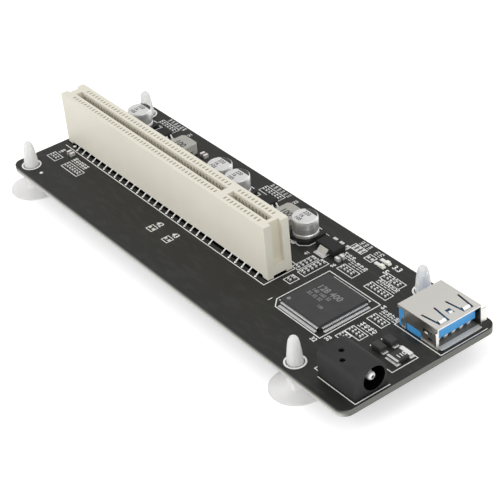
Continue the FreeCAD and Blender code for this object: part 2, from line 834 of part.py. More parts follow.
def make_socket():
    """The cable socket: folded shell with spring fingers and legs, insulator with its tongue, contacts."""
    place = ("socket_left", "socket_center")
    shell = part("cable_socket_shell", *place)
    side = "socket_width / 2"
    wall = "socket_wall"
    tube = rectangle(f"-{side}", side, "0", "socket_height")
    prism(shell, "YZ_Plane", tube, "socket_length / 2", "socket_length")
    inside = rectangle("-socket_inner", "socket_inner", wall, f"socket_height - {wall}")
    prism(shell, "YZ_Plane", inside, "socket_length / 2", "2 * socket_length", cut=True)
    base_gate = rectangle("-socket_length", "socket_base_length", "-socket_width", "socket_width")
    slab(shell, base_gate, "-socket_wall", "socket_base_height", cut=True)
    roof = (f"socket_height - {wall}", "socket_height")
    start = "socket_finger_start"
    end = "socket_finger_start + socket_finger_length"
    slit = "socket_finger_slit"
    for sign in (-1, 1):
        center = f"{sign} * socket_finger_offset"
        root = "socket_finger_root / 2"
        tip = "socket_finger_end / 2"
        window = (
            (start, f"{center} - {root} - {slit}"),
            (f"{end} + {slit}", f"{center} - {tip} - {slit}"),
            (f"{end} + {slit}", f"{center} + {tip} + {slit}"),
            (start, f"{center} + {root} + {slit}"),
        )
        slab(shell, window, f"socket_height - 2 * {wall}", f"socket_height + {wall}", cut=True)
        finger = (
            (f"{start} - {slit}", f"{center} - {root}"),
            (end, f"{center} - {tip}"),
            (end, f"{center} + {tip}"),
            (f"{start} - {slit}", f"{center} + {root}"),
        )
        slab(shell, finger, *roof)
    latch_end = "socket_latch_start + socket_latch_length"
    latch = rectangle("socket_latch_start", latch_end, "-socket_latch_width / 2", "socket_latch_width / 2")
    slab(shell, latch, f"socket_height - 2 * {wall}", f"socket_height + {wall}", cut=True)
    opening = rectangle(
        "socket_window_start",
        "socket_window_start + socket_window_length",
        "socket_window_bottom",
        "socket_window_bottom + socket_window_height",
    )
    notch = rectangle("-socket_notch", "socket_notch", "0", "socket_height - socket_notch_top")
    for side_opening in (opening, notch):
        prism(shell, "XZ_Plane", side_opening, "0", "2 * socket_width", cut=True)
    lip_side = f"{side} - socket_lip_inset"
    lip = rectangle("socket_length", "socket_length + socket_lip", f"-({lip_side})", lip_side)
    slab(shell, lip, "0", wall)
    for sign, ear in ((-1, "socket_ear_near"), (1, "socket_ear_far")):
        flange = centered(f"socket_length - {wall} / 2", f"{sign} * ({side} + {ear} / 2)", wall, ear)
        low = "(socket_height - socket_ear_height) / 2"
        slab(shell, flange, low, f"{low} + socket_ear_height")
        for leg in ("socket_leg_rear", "socket_leg_front"):
            strip = centered(leg, f"{sign} * (socket_width - {wall}) / 2", "socket_leg_width", wall)
            foot = "-(board_thickness + socket_leg_proud)"
            slab(shell, strip, foot, "socket_height / 2")
    insulator = part("cable_socket_insulator", *place)
    width = "2 * (socket_inner - socket_fit)"
    ceiling = f"socket_height - {wall} - socket_fit"
    block = rectangle("0", "socket_block", f"-({width}) / 2", f"({width}) / 2")
    slab(insulator, block, "0", ceiling)
    base = rectangle("0", "socket_base_length - socket_fit", f"-({width}) / 2", f"({width}) / 2")
    slab(insulator, base, "0", "socket_base_height")
    tongue = rectangle(
        "0", "socket_length - socket_tongue_setback", "-socket_tongue_width / 2", "socket_tongue_width / 2"
    )
    slab(insulator, tongue, "socket_tongue_bottom", "socket_tongue_bottom + socket_tongue_thickness")
    contacts = part("cable_socket_contacts", *place)
    for pitch, count, x, setback in (
        ("signal_pitch", "signal_count", "pin_rear", "signal_setback"),
        ("lane_pitch", "lane_count", "pin_rear + pin_row_gap", "lane_setback"),
    ):
        first = f"-({count} - 1) / 2 * {pitch}"
        width = "pin_width + 2 * socket_fit"
        channel = rectangle(
            f"{x} - pin_thickness / 2 - socket_fit",
            "socket_base_length + socket_fit",
            f"{first} - ({width}) / 2",
            f"{first} + ({width}) / 2",
        )
        groove = slab(insulator, channel, "-socket_wall", "socket_tongue_bottom", cut=True)
        row(insulator, groove, "Y_Axis", pitch, count)
        front = f"socket_length - socket_tongue_setback - {setback}"
        rear = f"{x} - pin_thickness / 2"
        strip = [
            (rear, "pin_end"),
            (f"{rear} + pin_thickness", "pin_end"),
            (f"{rear} + pin_thickness", "socket_tongue_bottom - pin_thickness"),
            (front, "socket_tongue_bottom - pin_thickness"),
            (front, "socket_tongue_bottom"),
            (rear, "socket_tongue_bottom"),
        ]
        row(contacts, prism(contacts, "XZ_Plane", strip, first, "pin_width"), "Y_Axis", pitch, count)


def make_jack():
    """The power jack: housing with an off-centre bore, centre pin with its plate, sleeve spring."""
    place = ("jack_left", "jack_center")
    housing = part("jack_housing", *place)
    side = "jack_width / 2"
    section = rectangle(f"-{side}", side, "0", "jack_height")
    prism(housing, "YZ_Plane", section, "jack_length / 2", "jack_length")
    for sign, radius in ((-1, "jack_round_near"), (1, "jack_round_far")):
        line = number(f"{sign} * {side}")
        top = number("jack_height")

        def top_edge(edge):
            box = edge.BoundBox
            return abs(box.ZMin - top) < 1e-6 and max(abs(box.YMin - line), abs(box.YMax - line)) < 1e-6

        dress_edges(housing, "Fillet", radius, top_edge)
    drum(
        housing,
        "YZ_Plane",
        "jack_bore_offset",
        "jack_axis",
        "jack_bore",
        "jack_length - jack_bore_depth / 2 + jack_setback / 2",
        "jack_bore_depth + jack_setback",
        cut=True,
    )
    axis = ("jack_bore_offset", "jack_axis")
    pin_seat = "jack_pin + 2 * jack_pin_fit"
    drum(housing, "YZ_Plane", *axis, pin_seat, "jack_floor / 2", "2 * jack_floor", cut=True)
    for vent in (1, 2):
        shape = flat_sided(f"jack_vent_{vent}_x", f"jack_vent_{vent}_offset", "jack_vent")
        prism(housing, "XY_Plane", shape, "jack_height", "2 * jack_vent_depth", cut=True)
    spring_gate = rectangle(
        "jack_spring_start - jack_spring_slack",
        "jack_spring_start + jack_spring_length + jack_spring_slack",
        "jack_bore_offset - jack_spring_width / 2 - jack_spring_slack",
        "jack_bore_offset + jack_spring_width / 2 + jack_spring_slack",
    )
    slab(housing, spring_gate, "-jack_axis", "jack_axis - jack_pin", cut=True)
    pin = part("jack_center_pin", *place)
    behind = "-jack_plate_thickness / 2"
    plate = centered(behind, "jack_bore_offset", "jack_plate_thickness", "jack_plate_width")
    slab(pin, plate, "-(board_thickness + jack_plate_proud)", "jack_plate_height")
    tip = "jack_length - jack_pin_setback"
    drum(pin, "YZ_Plane", *axis, "jack_pin", f"({tip}) / 2", tip)
    spring = part("jack_sleeve_spring", place[0], f"{place[1]} + jack_bore_offset")
    start = "jack_spring_start"
    thick = "jack_spring_thickness"
    seat = "jack_spring_seat"
    crown = "jack_spring_start + jack_spring_length / 2"
    end = "jack_spring_start + jack_spring_length"
    corners = [
        (start, "-(board_thickness + jack_plate_proud)"),
        (f"{start} + {thick}", "-(board_thickness + jack_plate_proud)"),
        (f"{start} + {thick}", seat),
        (crown, "jack_spring_crown"),
        (end, seat),
        (end, f"{seat} + {thick}"),
        (crown, f"jack_spring_crown + {thick}"),
        (start, f"{seat} + {thick}"),
    ]
    prism(spring, "XZ_Plane", corners, "0", "jack_spring_width")


def make_foot(index, x, y):
    """A push-in foot: round pad on the table, square post and neck up through the board and a tapered head."""
    foot = part(f"foot_{index}", f"left_edge + {x}", f"near_edge + {y}", "0")
    drum(foot, "XY_Plane", "0", "0", "foot_rim", "foot_rim_height / 2", "foot_rim_height")
    head = "board_top + foot_barb_gap"
    top = "board_top + foot_rise"
    slab(foot, centered("0", "0", "foot_shoulder", "foot_shoulder"), "foot_rim_height / 2", "foot_drop")
    slab(foot, centered("0", "0", "foot_neck", "foot_neck"), "foot_drop / 2", f"{head} + foot_barb_gap")
    slab(foot, flat_sided("0", "0", "foot_barb - 2 * foot_shave"), head, top)
    outside = (
        ("foot_barb / 2", head),
        ("foot_barb", head),
        ("foot_barb", f"{top} + foot_barb"),
        ("foot_nose / 2", f"{top} + foot_shave"),
        ("foot_tip / 2", f"{top} - foot_tip_height"),
        ("foot_waist / 2", "board_top + foot_waist_height"),
    )
    taper = prism(foot, "XZ_Plane", outside, "0", "2 * foot_barb", cut=True)
    facets = foot.newObject("PartDesign::PolarPattern", "Facets")
    facets.Originals = [taper]
    facets.Axis = (origin_feature(foot, "Z_Axis"), [""])
    facets.Angle = 360
    facets.Occurrences = FLAT_SIDES
    foot.Tip = facets


def check_and_write():
    """Check every object and every sub-part's solid, then write one file for each sub-part."""
    doc.recompute()
    for item in doc.Objects:
        if "Invalid" in item.State or "Error" in item.State:
            raise RuntimeError(f"{item.Label} failed: {item.State}")
    for body in parts:
        if body.Shape.isNull() or not body.Shape.isValid() or not body.Shape.Solids:
            raise RuntimeError(f"{body.Label} has no valid solid")
    os.makedirs("parts", exist_ok=True)
    for body in parts:
        body.Shape.exportStep(f"parts/{body.Label}.step")


make_board()
make_slot()
make_contacts()
make_bridge_chip()
for number_of_can in range(1, 5):
    make_can(number_of_can)
for number_of_pair in (1, 2):
    make_coil(number_of_pair)
    make_converter(number_of_pair)
make_regulator()
make_chip_parts()
make_diodes_and_fuse()
make_socket()
make_jack()
corner = 0
for foot_x in ("foot_inset", "foot_right"):
    for foot_y in ("foot_side_inset", "foot_far"):
        corner += 1
        make_foot(corner, foot_x, foot_y)
check_and_write()
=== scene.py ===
"""Looks of an adapter board: card slot, bridge chip, supplies, cable socket and power jack on feet."""

import logging
import math
from dataclasses import dataclass, replace
from enum import Enum
from typing import Optional, Sequence

import bmesh
import bpy
import numpy as np
from mathutils import Matrix, Vector


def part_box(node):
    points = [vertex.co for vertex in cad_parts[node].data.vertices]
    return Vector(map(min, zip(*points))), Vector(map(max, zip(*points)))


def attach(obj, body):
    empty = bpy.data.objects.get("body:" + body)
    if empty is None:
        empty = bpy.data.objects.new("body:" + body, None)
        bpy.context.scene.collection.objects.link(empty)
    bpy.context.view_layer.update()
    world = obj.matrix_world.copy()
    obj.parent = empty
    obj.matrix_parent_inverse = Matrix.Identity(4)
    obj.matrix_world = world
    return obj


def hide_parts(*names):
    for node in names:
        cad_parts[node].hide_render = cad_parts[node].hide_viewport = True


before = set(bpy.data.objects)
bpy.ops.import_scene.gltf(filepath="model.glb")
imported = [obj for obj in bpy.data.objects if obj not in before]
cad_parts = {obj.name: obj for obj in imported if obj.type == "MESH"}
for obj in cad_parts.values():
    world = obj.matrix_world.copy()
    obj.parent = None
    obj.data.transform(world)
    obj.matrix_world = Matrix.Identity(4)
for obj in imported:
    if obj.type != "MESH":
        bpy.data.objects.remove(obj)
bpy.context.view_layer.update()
LOG = logging.getLogger("adapter_board")
MM = 0.001
MERGE = 1e-8
# Height of print above a part's top, in millimetres
PRINT_LIFT = 0.006
# Size of the built-in font whose figures are 1 high
FONT_SCALE = 1.4
QUARTER_TURN = 90.0
# Numbers of the cans, of the feet, and of parts that come in twos
CANS = range(1, 5)
FEET = range(1, 5)
TWO = (1, 2)
# Strengths of a cloudy pattern between which one colour passes into the other
CLOUD_SPAN = (0.3, 0.7)
# Sockets of a Mix node that hold its two colours, and the one that gives the result
MIX_COLORS = (6, 7)
MIX_RESULT = 2

Color = tuple[float, float, float]
Place = tuple[float, float, float]
Span = tuple[float, float]
Path = Sequence[tuple[float, float]]
Arrays = tuple[np.ndarray, np.ndarray]
Socket = bpy.types.NodeSocket


class Slot(Enum):
    """Names of material slots, passed with each added piece; nothing reads them."""

    BOARD = "board_laminate"
    IVORY = "ivory_plastic"
    TIN = "tinned_metal"
    MOULDING = "black_moulding"
    CAN = "can_aluminium"
    COIL = "coil_grey"
    STEEL = "shell_steel"
    BLUE = "blue_plastic"
    CONTACT = "contact_bronze"
    JACK = "jack_plastic"
    NYLON = "clear_nylon"


class Axis(Enum):
    """The axis that a turned piece stands along: its two ring directions and its own."""

    UP = (0, 1, 2)
    ALONG = (1, 2, 0)


class NodeDesk:
    """A new material with its shader, and short ways to add and join nodes."""

    def __init__(self, name: str) -> None:
        """Makes the material and its shader.

        Args:
            name: the material's name.
        """
        self.material = bpy.data.materials.new(name)
        self.material.use_nodes = True
        self.tree = self.material.node_tree
        self.tree.nodes.clear()
        self.shader = self.tree.nodes.new("ShaderNodeBsdfPrincipled")
        output = self.tree.nodes.new("ShaderNodeOutputMaterial")
        self.feed(self.shader.outputs["BSDF"], output.inputs["Surface"])

    def feed(self, value: object, target: Socket) -> None:
        """Links a socket, or sets a plain value.

        Args:
            value: a socket, a number, a list, or a colour as a tuple.
            target: the socket that takes it.
        """
        if isinstance(value, Socket):
            self.tree.links.new(value, target)
        else:
            target.default_value = (*value, 1.0) if isinstance(value, tuple) else value

    def fill(self, node: bpy.types.Node, **inputs: object) -> None:
        """Feeds a node's inputs by name, with underscores for spaces."""
        for name, value in inputs.items():
            self.feed(value, node.inputs[name.replace("_", " ")])

    def set(self, **inputs: object) -> None:
        """Feeds the shader's inputs by name."""
        self.fill(self.shader, **inputs)

    def node(self, kind: str, output: str, **inputs: object) -> Socket:
        """Adds a node.

        Args:
            kind: the node's kind.
            output: name of the output that is wanted.
            inputs: what its inputs take, by name.

        Returns:
            The socket of the output.
        """
        node = self.tree.nodes.new(f"ShaderNode{kind}")
        self.fill(node, **inputs)
        return node.outputs[output]

    def place(self, scale: Sequence[float] = (1, 1, 1), center: Sequence[float] = (0, 0, 0)) -> Socket:
        """Object coordinates about a centre in metres, stretched along each axis.

        Args:
            scale: stretch along each axis.
            center: the place in metres that becomes zero.

        Returns:
            The socket of the mapped coordinates.
        """
        where = self.node("TexCoord", "Object")
        shift = [-s * m for s, m in zip(scale, center)]
        return self.node("Mapping", "Vector", Vector=where, Scale=list(scale), Location=shift)

    def noise(self, where: Socket, scale: float, detail: float = 3.0) -> Socket:
        """Strength of a cloudy pattern of so many features per metre and octaves."""
        return self.node("TexNoise", "Fac", Vector=where, Scale=scale, Detail=detail)

    def ramp(self, factor: Socket, low: float, high: float) -> Socket:
        """A strength spread from a low and a high mark to 0 and 1."""
        return self.node("MapRange", "Result", Value=factor, From_Min=low, From_Max=high)

    def part_of(self, where: Socket, axis: str) -> Socket:
        """One coordinate of a place."""
        return self.node("SeparateXYZ", axis, Vector=where)

    def bump(self, pattern: Socket, depth: float) -> None:
        """Raises the surface by a pattern, to a height in metres."""
        self.set(Normal=self.node("Bump", "Normal", Height=pattern, Distance=depth))

    def math(self, operation: str, *values: object) -> Socket:
        """A calculation on sockets or numbers.

        Args:
            operation: the calculation's name.
            values: up to three sockets or numbers.

        Returns:
            The socket of the result.
        """
        node = self.tree.nodes.new("ShaderNodeMath")
        node.operation = operation
        for value, target in zip(values, node.inputs):
            self.feed(value, target)
        return node.outputs["Value"]

    def blend(self, factor: object, first: object, second: object) -> Socket:
        """A mix of two colours.

        Args:
            factor: 0 for the first colour, 1 for the second.
            first: a colour or socket.
            second: a colour or socket.

        Returns:
            The socket of the mixed colour.
        """
        node = self.tree.nodes.new("ShaderNodeMix")
        node.data_type = "RGBA"
        self.fill(node, Factor=factor)
        for value, number in zip((first, second), MIX_COLORS):
            self.feed(value, node.inputs[number])
        return node.outputs[MIX_RESULT]

    def within(self, low: Sequence[float], high: Sequence[float]) -> Socket:
        """Whether a place lies between two corners.

        Args:
            low: lowest corner in metres.
            high: highest corner in metres.

        Returns:
            The socket of 1 inside and 0 outside.
        """
        where = self.place()
        inside: object = 1.0
        for axis, start, end in zip("XYZ", low, high):
            value = self.part_of(where, axis)
            above = self.math("GREATER_THAN", value, start)
            below = self.math("LESS_THAN", value, end)
            inside = self.math("MULTIPLY", inside, self.math("MULTIPLY", above, below))
        return inside

    def outside(self, value: float, inside: Socket) -> Socket:
        """A number that falls to 0 inside a region."""
        return self.math("MULTIPLY", value, self.math("SUBTRACT", 1.0, inside))


@dataclass(frozen=True)
class Finish:
    """A mottled finish: two near colours mixed by a cloudy pattern, and a finer pattern as its relief."""

    name: str
    color: Color
    shade: Color
    roughness: float
    metallic: float = 0.0
    cloud: float = 300.0
    grain: float = 4000.0
    relief: float = 0.0
    stretch: Place = (1.0, 1.0, 1.0)
    specular: float = 0.5

    def colors(self, desk: NodeDesk) -> Socket:
        """The mottled colour of the finish."""
        clouds = desk.noise(desk.place(self.stretch), self.cloud)
        return desk.blend(desk.ramp(clouds, *CLOUD_SPAN), self.color, self.shade)

    def dress(self, desk: NodeDesk) -> None:
        """Puts the colour on the shader; finishes with more to them add it here."""
        desk.set(Base_Color=self.colors(desk))

    def material(self) -> bpy.types.Material:
        """Builds the material.

        Returns:
            The finished material.
        """
        desk = NodeDesk(self.name)
        desk.set(Roughness=self.roughness, Metallic=self.metallic, Specular_IOR_Level=self.specular)
        if self.relief:
            desk.bump(desk.noise(desk.place(self.stretch), self.grain), self.relief)
        self.dress(desk)
        return desk.material


@dataclass(frozen=True)
class BoardFinish(Finish):
    """Black mask on both faces of the board, a painted shadow under the slot, and laminate on its edges."""

    laminate: Color = (0.65, 0.645, 0.59)
    core: Color = (0.035, 0.035, 0.032)
    layer_inset: float = 0.0002
    weave_scale: float = 2500.0
    weave_depth: float = 0.0002
    sawn: Color = (0.155, 0.155, 0.140)
    sawn_start: float = 0.0660
    sawn_full: float = 0.0671
    top: float = 0.007
    bottom: float = 0.0054
    skin: float = 0.00004
    track: Color = (0.030, 0.030, 0.029)
    track_stretch: Place = (0.25, 1.0, 1.0)
    track_scale: float = 900.0
    track_span: Span = (0.56, 0.6)
    track_share: float = 0.5
    # Painted shadow under the slot housing: a near-black strip between these corners
    slot_shadow: Color = (0.003, 0.003, 0.003)
    slot_shadow_low: Place = (0.0, 0.0, 0.0)
    slot_shadow_high: Place = (0.0, 0.0, 0.0)

    def edge(self, desk: NodeDesk, where: Socket, level: Socket) -> Socket:
        """The edges' colour: pale laminate that darkens upwards, and an even sawn tone at the sockets' end.

        Args:
            desk: where the material is made.
            where: the place.
            level: its height.

        Returns:
            The socket of the colour.
        """
        weave = desk.math("MULTIPLY", desk.noise(where, self.weave_scale), self.weave_depth)
        low, high = self.bottom + self.layer_inset, self.top - self.layer_inset
        layer = desk.ramp(desk.math("ADD", level, weave), low, high)
        end = desk.ramp(desk.part_of(where, "X"), self.sawn_start, self.sawn_full)
        return desk.blend(end, desk.blend(layer, self.laminate, self.core), self.sawn)

    def dress(self, desk: NodeDesk) -> None:
        """Mixes mask, faint tracks, the painted shadow under the slot and the edges, with faces told by
        their height.

        Args:
            desk: where the material is made.
        """
        where = desk.place()
        level = desk.part_of(where, "Z")
        faces = [desk.math("COMPARE", level, height, self.skin) for height in (self.top, self.bottom)]
        pattern = desk.noise(desk.place(self.track_stretch), self.track_scale, detail=1.0)
        tracks = desk.math("MULTIPLY", desk.ramp(pattern, *self.track_span), self.track_share)
        # Painted shadow: the strip under the slot housing is near-black and loses its reflection
        under = desk.within(self.slot_shadow_low, self.slot_shadow_high)
        mask = desk.blend(under, desk.blend(tracks, self.colors(desk), self.track), self.slot_shadow)
        desk.set(Base_Color=desk.blend(desk.math("MAXIMUM", *faces), self.edge(desk, where, level), mask))
        desk.set(Specular_IOR_Level=desk.outside(self.specular, under))


@dataclass(frozen=True)
class PaintedShadeFinish(Finish):
    """A finish with painted shade: a darker tone inside a box where shade falls."""

    # Colour of the painted shade, and the corners of the box that it fills
    hollow: Color = (0.71, 0.665, 0.54)
    painted_shade_low: Place = (0.0, 0.0, 0.0)
    painted_shade_high: Place = (0.0, 0.0, 0.0)

    def dress(self, desk: NodeDesk) -> None:
        """Mixes the outer tone and the painted shade inside the box."""
        inside = desk.within(self.painted_shade_low, self.painted_shade_high)
        desk.set(Base_Color=desk.blend(inside, self.colors(desk), self.hollow))


@dataclass(frozen=True)
class SplitFinish(Finish):
    """A contact strip that changes colour at a height, from its tinned tail to its gold spring."""

    level: float = 0.0087
    low_color: Color = (0.90, 0.90, 0.88)

    def dress(self, desk: NodeDesk) -> None:
        """Mixes the colours above and below the level."""
        above = desk.math("GREATER_THAN", desk.part_of(desk.place(), "Z"), self.level)
        desk.set(Base_Color=desk.blend(above, self.low_color, self.colors(desk)))


@dataclass(frozen=True)
class CanFinish(Finish):
    """A drawn can with a pale top and a dark segment printed beyond a chord of it."""

    center: Place = (0.0, 0.0, 0.0)
    top: float = 0.0125
    chord: float = 0.0019
    pale: Color = (0.70, 0.70, 0.695)
    ink: Color = (0.02, 0.02, 0.022)
    draw_stretch: Place = (0.02, 0.02, 1.0)
    draw_scale: float = 6000.0

    def dress(self, desk: NodeDesk) -> None:
        """Mixes wall, top and segment.

        Args:
            desk: where the material is made.
        """
        where = desk.place(center=self.center)
        on_top = desk.math("GREATER_THAN", desk.part_of(where, "Z"), self.top)
        beyond = desk.math("GREATER_THAN", desk.part_of(where, "Y"), self.chord)
        lid = desk.blend(beyond, self.pale, self.ink)
        lines = desk.noise(desk.place(self.draw_stretch), self.draw_scale, detail=1.0)
        wall = desk.blend(desk.ramp(lines, *CLOUD_SPAN), self.color, self.shade)
        desk.set(Base_Color=desk.blend(on_top, wall, lid), Metallic=desk.outside(self.metallic, on_top))


@dataclass(frozen=True)
class ShadedBoreFinish(Finish):
    """A finish with painted shade inside a round mouth."""

    center: Place = (0.0, 0.0, 0.0)
    radius: float = 0.0029
    # Colour of the painted shade
    dark: Color = (0.003, 0.003, 0.003)

    def dress(self, desk: NodeDesk) -> None:
        """Paints shade on what lies in front of the centre and within the radius of its axis, and takes its
        reflection away.

        Args:
            desk: where the material is made.
        """
        where = desk.place(center=self.center)
        across = [desk.math("POWER", desk.part_of(where, axis), 2.0) for axis in ("Y", "Z")]
        near_axis = desk.math("LESS_THAN", desk.math("SQRT", desk.math("ADD", *across)), self.radius)
        in_front = desk.math("GREATER_THAN", desk.part_of(where, "X"), 0.0)
        inside = desk.math("MULTIPLY", near_axis, in_front)
        desk.set(Base_Color=desk.blend(inside, self.colors(desk), self.dark))
        desk.set(Specular_IOR_Level=desk.outside(self.specular, inside))


@dataclass(frozen=True)
class NylonFinish(Finish):
    """Milky translucent plastic, less clear in the heads than in the pads."""

    transmission: float = 0.45
    head_loss: float = 0.15
    head_start: float = 0.0054
    head_full: float = 0.0072
    index: float = 1.4
    milk: float = 0.45
    depth: float = 0.004

    def dress(self, desk: NodeDesk) -> None:
        """Lets part of the light through and spreads part of it below the surface, evenly in all colours.

        Args:
            desk: where the material is made.
        """
        head = desk.ramp(desk.part_of(desk.place(), "Z"), self.head_start, self.head_full)
        clear = desk.math("MULTIPLY_ADD", head, -self.head_loss, self.transmission)
        desk.set(Base_Color=self.colors(desk), Transmission_Weight=clear, IOR=self.index)
        desk.set(Subsurface_Weight=self.milk, Subsurface_Scale=self.depth, Subsurface_Radius=[1.0] * 3)


BOARD = BoardFinish(
    "black_mask", (0.017, 0.017, 0.015), (0.020, 0.020, 0.018), 0.45, cloud=120.0, specular=0.25
)
IVORY = PaintedShadeFinish(
    "ivory_moulding", (0.75, 0.72, 0.62), (0.72, 0.69, 0.59), 0.48, cloud=90.0, relief=0.000004
)
CONTACT = SplitFinish("gold_flash", (0.78, 0.56, 0.33), (0.66, 0.46, 0.26), 0.36, 0.8, cloud=700.0)
TIN = Finish(
    "matt_tin", (0.80, 0.80, 0.79), (0.70, 0.70, 0.69), 0.3, 1.0, cloud=1500.0, relief=0.000006
)
LEAD = Finish("plated_lead", (0.90, 0.90, 0.90), (0.80, 0.80, 0.80), 0.42, 0.6, cloud=1800.0)
# Painted shade: near-black on the sloping part of the chip's leads
BENT = PaintedShadeFinish(
    "bent_lead", (0.92, 0.92, 0.92), (0.84, 0.84, 0.84), 0.42, 0.5, cloud=1800.0, hollow=(0.10, 0.10, 0.10)
)
SOLDER = Finish("bright_solder", (0.88, 0.88, 0.88), (0.78, 0.78, 0.78), 0.24, 1.0, cloud=1800.0)
CHIP = Finish(
    "moulding_compound", (0.046, 0.046, 0.046), (0.039, 0.039, 0.040), 0.62, cloud=500.0, specular=0.3
)
SMALL = Finish(
    "small_moulding", (0.024, 0.023, 0.023), (0.019, 0.019, 0.019), 0.6, cloud=500.0, specular=0.22
)
CAN = CanFinish("drawn_can", (0.88, 0.88, 0.88), (0.64, 0.64, 0.64), 0.34, 0.75)
COIL = Finish(
    "pressed_powder", (0.465, 0.46, 0.42), (0.38, 0.375, 0.34), 0.7, cloud=1400.0, relief=0.00003
)
RESISTOR = Finish("resistor_glaze", (0.02, 0.02, 0.022), (0.03, 0.03, 0.03), 0.35, cloud=1200.0)
CERAMIC = Finish("grey_ceramic", (0.075, 0.068, 0.058), (0.055, 0.05, 0.043), 0.45, cloud=1200.0)
OLIVE = Finish("olive_ceramic", (0.17, 0.165, 0.115), (0.13, 0.125, 0.085), 0.45, cloud=1200.0)
BROWN = Finish("brown_ceramic", (0.18, 0.115, 0.075), (0.14, 0.085, 0.055), 0.42, cloud=1200.0)
LAMP = Finish("milky_lens", (0.90, 0.90, 0.85), (0.84, 0.83, 0.74), 0.3, cloud=900.0)
# Painted shade: the cable socket's shell is dark inside
STEEL = PaintedShadeFinish(
    "nickel_plate",
    (0.80, 0.78, 0.735),
    (0.735, 0.715, 0.67),
    0.28,
    1.0,
    cloud=60.0,
    stretch=(1.0, 0.2, 1.0),
    hollow=(0.16, 0.155, 0.15),
)
SILL = Finish("mouth_sill", (0.74, 0.73, 0.70), (0.68, 0.67, 0.64), 0.5, 0.2, cloud=600.0)
# Painted shade: dark grey for the floor inside the cable socket's mouth
MOUTH = Finish(
    "mouth_shade", (0.20, 0.195, 0.185), (0.13, 0.125, 0.12), 0.5, cloud=900.0, specular=0.3
)
BOW = Finish("bow_plate", (0.95, 0.95, 0.93), (0.90, 0.90, 0.88), 0.4, cloud=1800.0)
BLUE = Finish("blue_moulding", (0.066, 0.36, 0.75), (0.056, 0.32, 0.68), 0.4, cloud=200.0)
# Painted shade: dark inside the jack's bore, and inside the pin's cup for PIN
JACK = ShadedBoreFinish(
    "jack_moulding", (0.041, 0.041, 0.042), (0.035, 0.035, 0.036), 0.5, cloud=250.0, specular=0.08
)
PIN = ShadedBoreFinish(
    "hollow_pin", (0.92, 0.92, 0.92), (0.86, 0.86, 0.86), 0.3, 0.3, cloud=1800.0, dark=(0.10, 0.10, 0.10)
)
NYLON = NylonFinish("milky_nylon", (0.97, 0.965, 0.955), (0.94, 0.93, 0.925), 0.42, cloud=350.0)
INK = Finish("white_legend", (0.86, 0.86, 0.84), (0.78, 0.78, 0.76), 0.6, cloud=2500.0)
DARK_INK = Finish("dark_print", (0.02, 0.02, 0.022), (0.03, 0.03, 0.03), 0.6, cloud=2500.0)
GREY_INK = Finish("laser_mark", (0.24, 0.24, 0.24), (0.17, 0.17, 0.17), 0.65, cloud=2500.0)
SHADE = Finish(
    "hollow_shade", (0.003, 0.003, 0.003), (0.004, 0.004, 0.004), 0.8, cloud=900.0, specular=0.0
)
BASE = Finish(
    "base_moulding", (0.012, 0.012, 0.012), (0.016, 0.016, 0.016), 0.5, cloud=400.0, specular=0.3
)


def boxes(lows: np.ndarray, highs: np.ndarray) -> Arrays:
    """Boxes between low and high corners: each corner takes the low or high value by one bit of its number.

    Args:
        lows: low corners, one row each.
        highs: high corners, one row each.

    Returns:
        Corners and faces of all the boxes.
    """
    lows, highs = np.atleast_2d(np.asarray(lows, float)), np.atleast_2d(np.asarray(highs, float))
    bits = (np.arange(8)[:, None] >> np.arange(3)) & 1
    points = np.where(bits[None], highs[:, None], lows[:, None]).reshape(-1, 3)
    sides = np.array([[0, 2, 3, 1], [4, 5, 7, 6], [0, 1, 5, 4], [2, 6, 7, 3], [0, 4, 6, 2], [1, 3, 7, 5]])
    faces = (np.arange(len(lows))[:, None, None] * 8 + sides[None]).reshape(-1, 4)
    return points, faces


def grid_faces(rows: int, columns: int, wrap: bool = False) -> np.ndarray:
    """Faces between neighbours of a grid of points.

    Args:
        rows: points one way.
        columns: points the other way.
        wrap: whether the last column joins the first.

    Returns:
        Four corner numbers for each face.
    """
    i, j = np.meshgrid(np.arange(rows - 1), np.arange(columns if wrap else columns - 1), indexing="ij")
    after = (j + 1) % columns
    corners = [i * columns + j, i * columns + after, (i + 1) * columns + after, (i + 1) * columns + j]
    return np.stack(corners, -1).reshape(-1, 4)


def turned(profile: np.ndarray, centers: np.ndarray, segments: int = 24, axis: Axis = Axis.UP) -> Arrays:
    """Solids of revolution: point j of a ring stands at the angle 2 pi j / segments, at the ring's height.

    Args:
        profile: radius and height of each ring, from the bottom outwards and up.
        centers: places of the solids, one row each.
        segments: points round each ring.
        axis: the axis that they stand along.

    Returns:
        Points and faces of all the solids.
    """
    profile, centers = np.asarray(profile, float), np.atleast_2d(np.asarray(centers, float))
    angle = np.arange(segments) * 2 * math.pi / segments
    local = np.empty((len(profile), segments, 3))
    first, second, along = axis.value
    local[..., first] = profile[:, :1] * np.cos(angle)
    local[..., second] = profile[:, :1] * np.sin(angle)
    local[..., along] = profile[:, 1:]
    points = (centers[:, None, None] + local[None]).reshape(-1, 3)
    quads = grid_faces(len(profile), segments, wrap=True)
    step = len(profile) * segments
    faces = (np.arange(len(centers))[:, None, None] * step + quads[None]).reshape(-1, 4)
    return points, faces


def disc(radius: float, height: float) -> Path:
    """Profile of a low round disc."""
    return [(radius, 0.0), (radius, height), (0.0, height)]


def shares(rows: int, columns: int) -> Arrays:
    """Shares of a strip's length, from 0 to 1, and of its width, from -0.5 to 0.5, on a grid of points."""
    return np.meshgrid(np.linspace(0, 1, rows), np.linspace(-0.5, 0.5, columns), indexing="ij")


def sheet(x: np.ndarray, y: np.ndarray, z: np.ndarray) -> Arrays:
    """A surface through a grid of points, facing the side from which rows run right and columns run up.

    Args:
        x: first coordinate of each point, rows by columns.
        y: second coordinate.
        z: third coordinate.

    Returns:
        Points and faces.
    """
    points = np.stack(np.broadcast_arrays(x, y, z), -1)
    return points.reshape(-1, 3), grid_faces(*points.shape[:2])[:, ::-1]


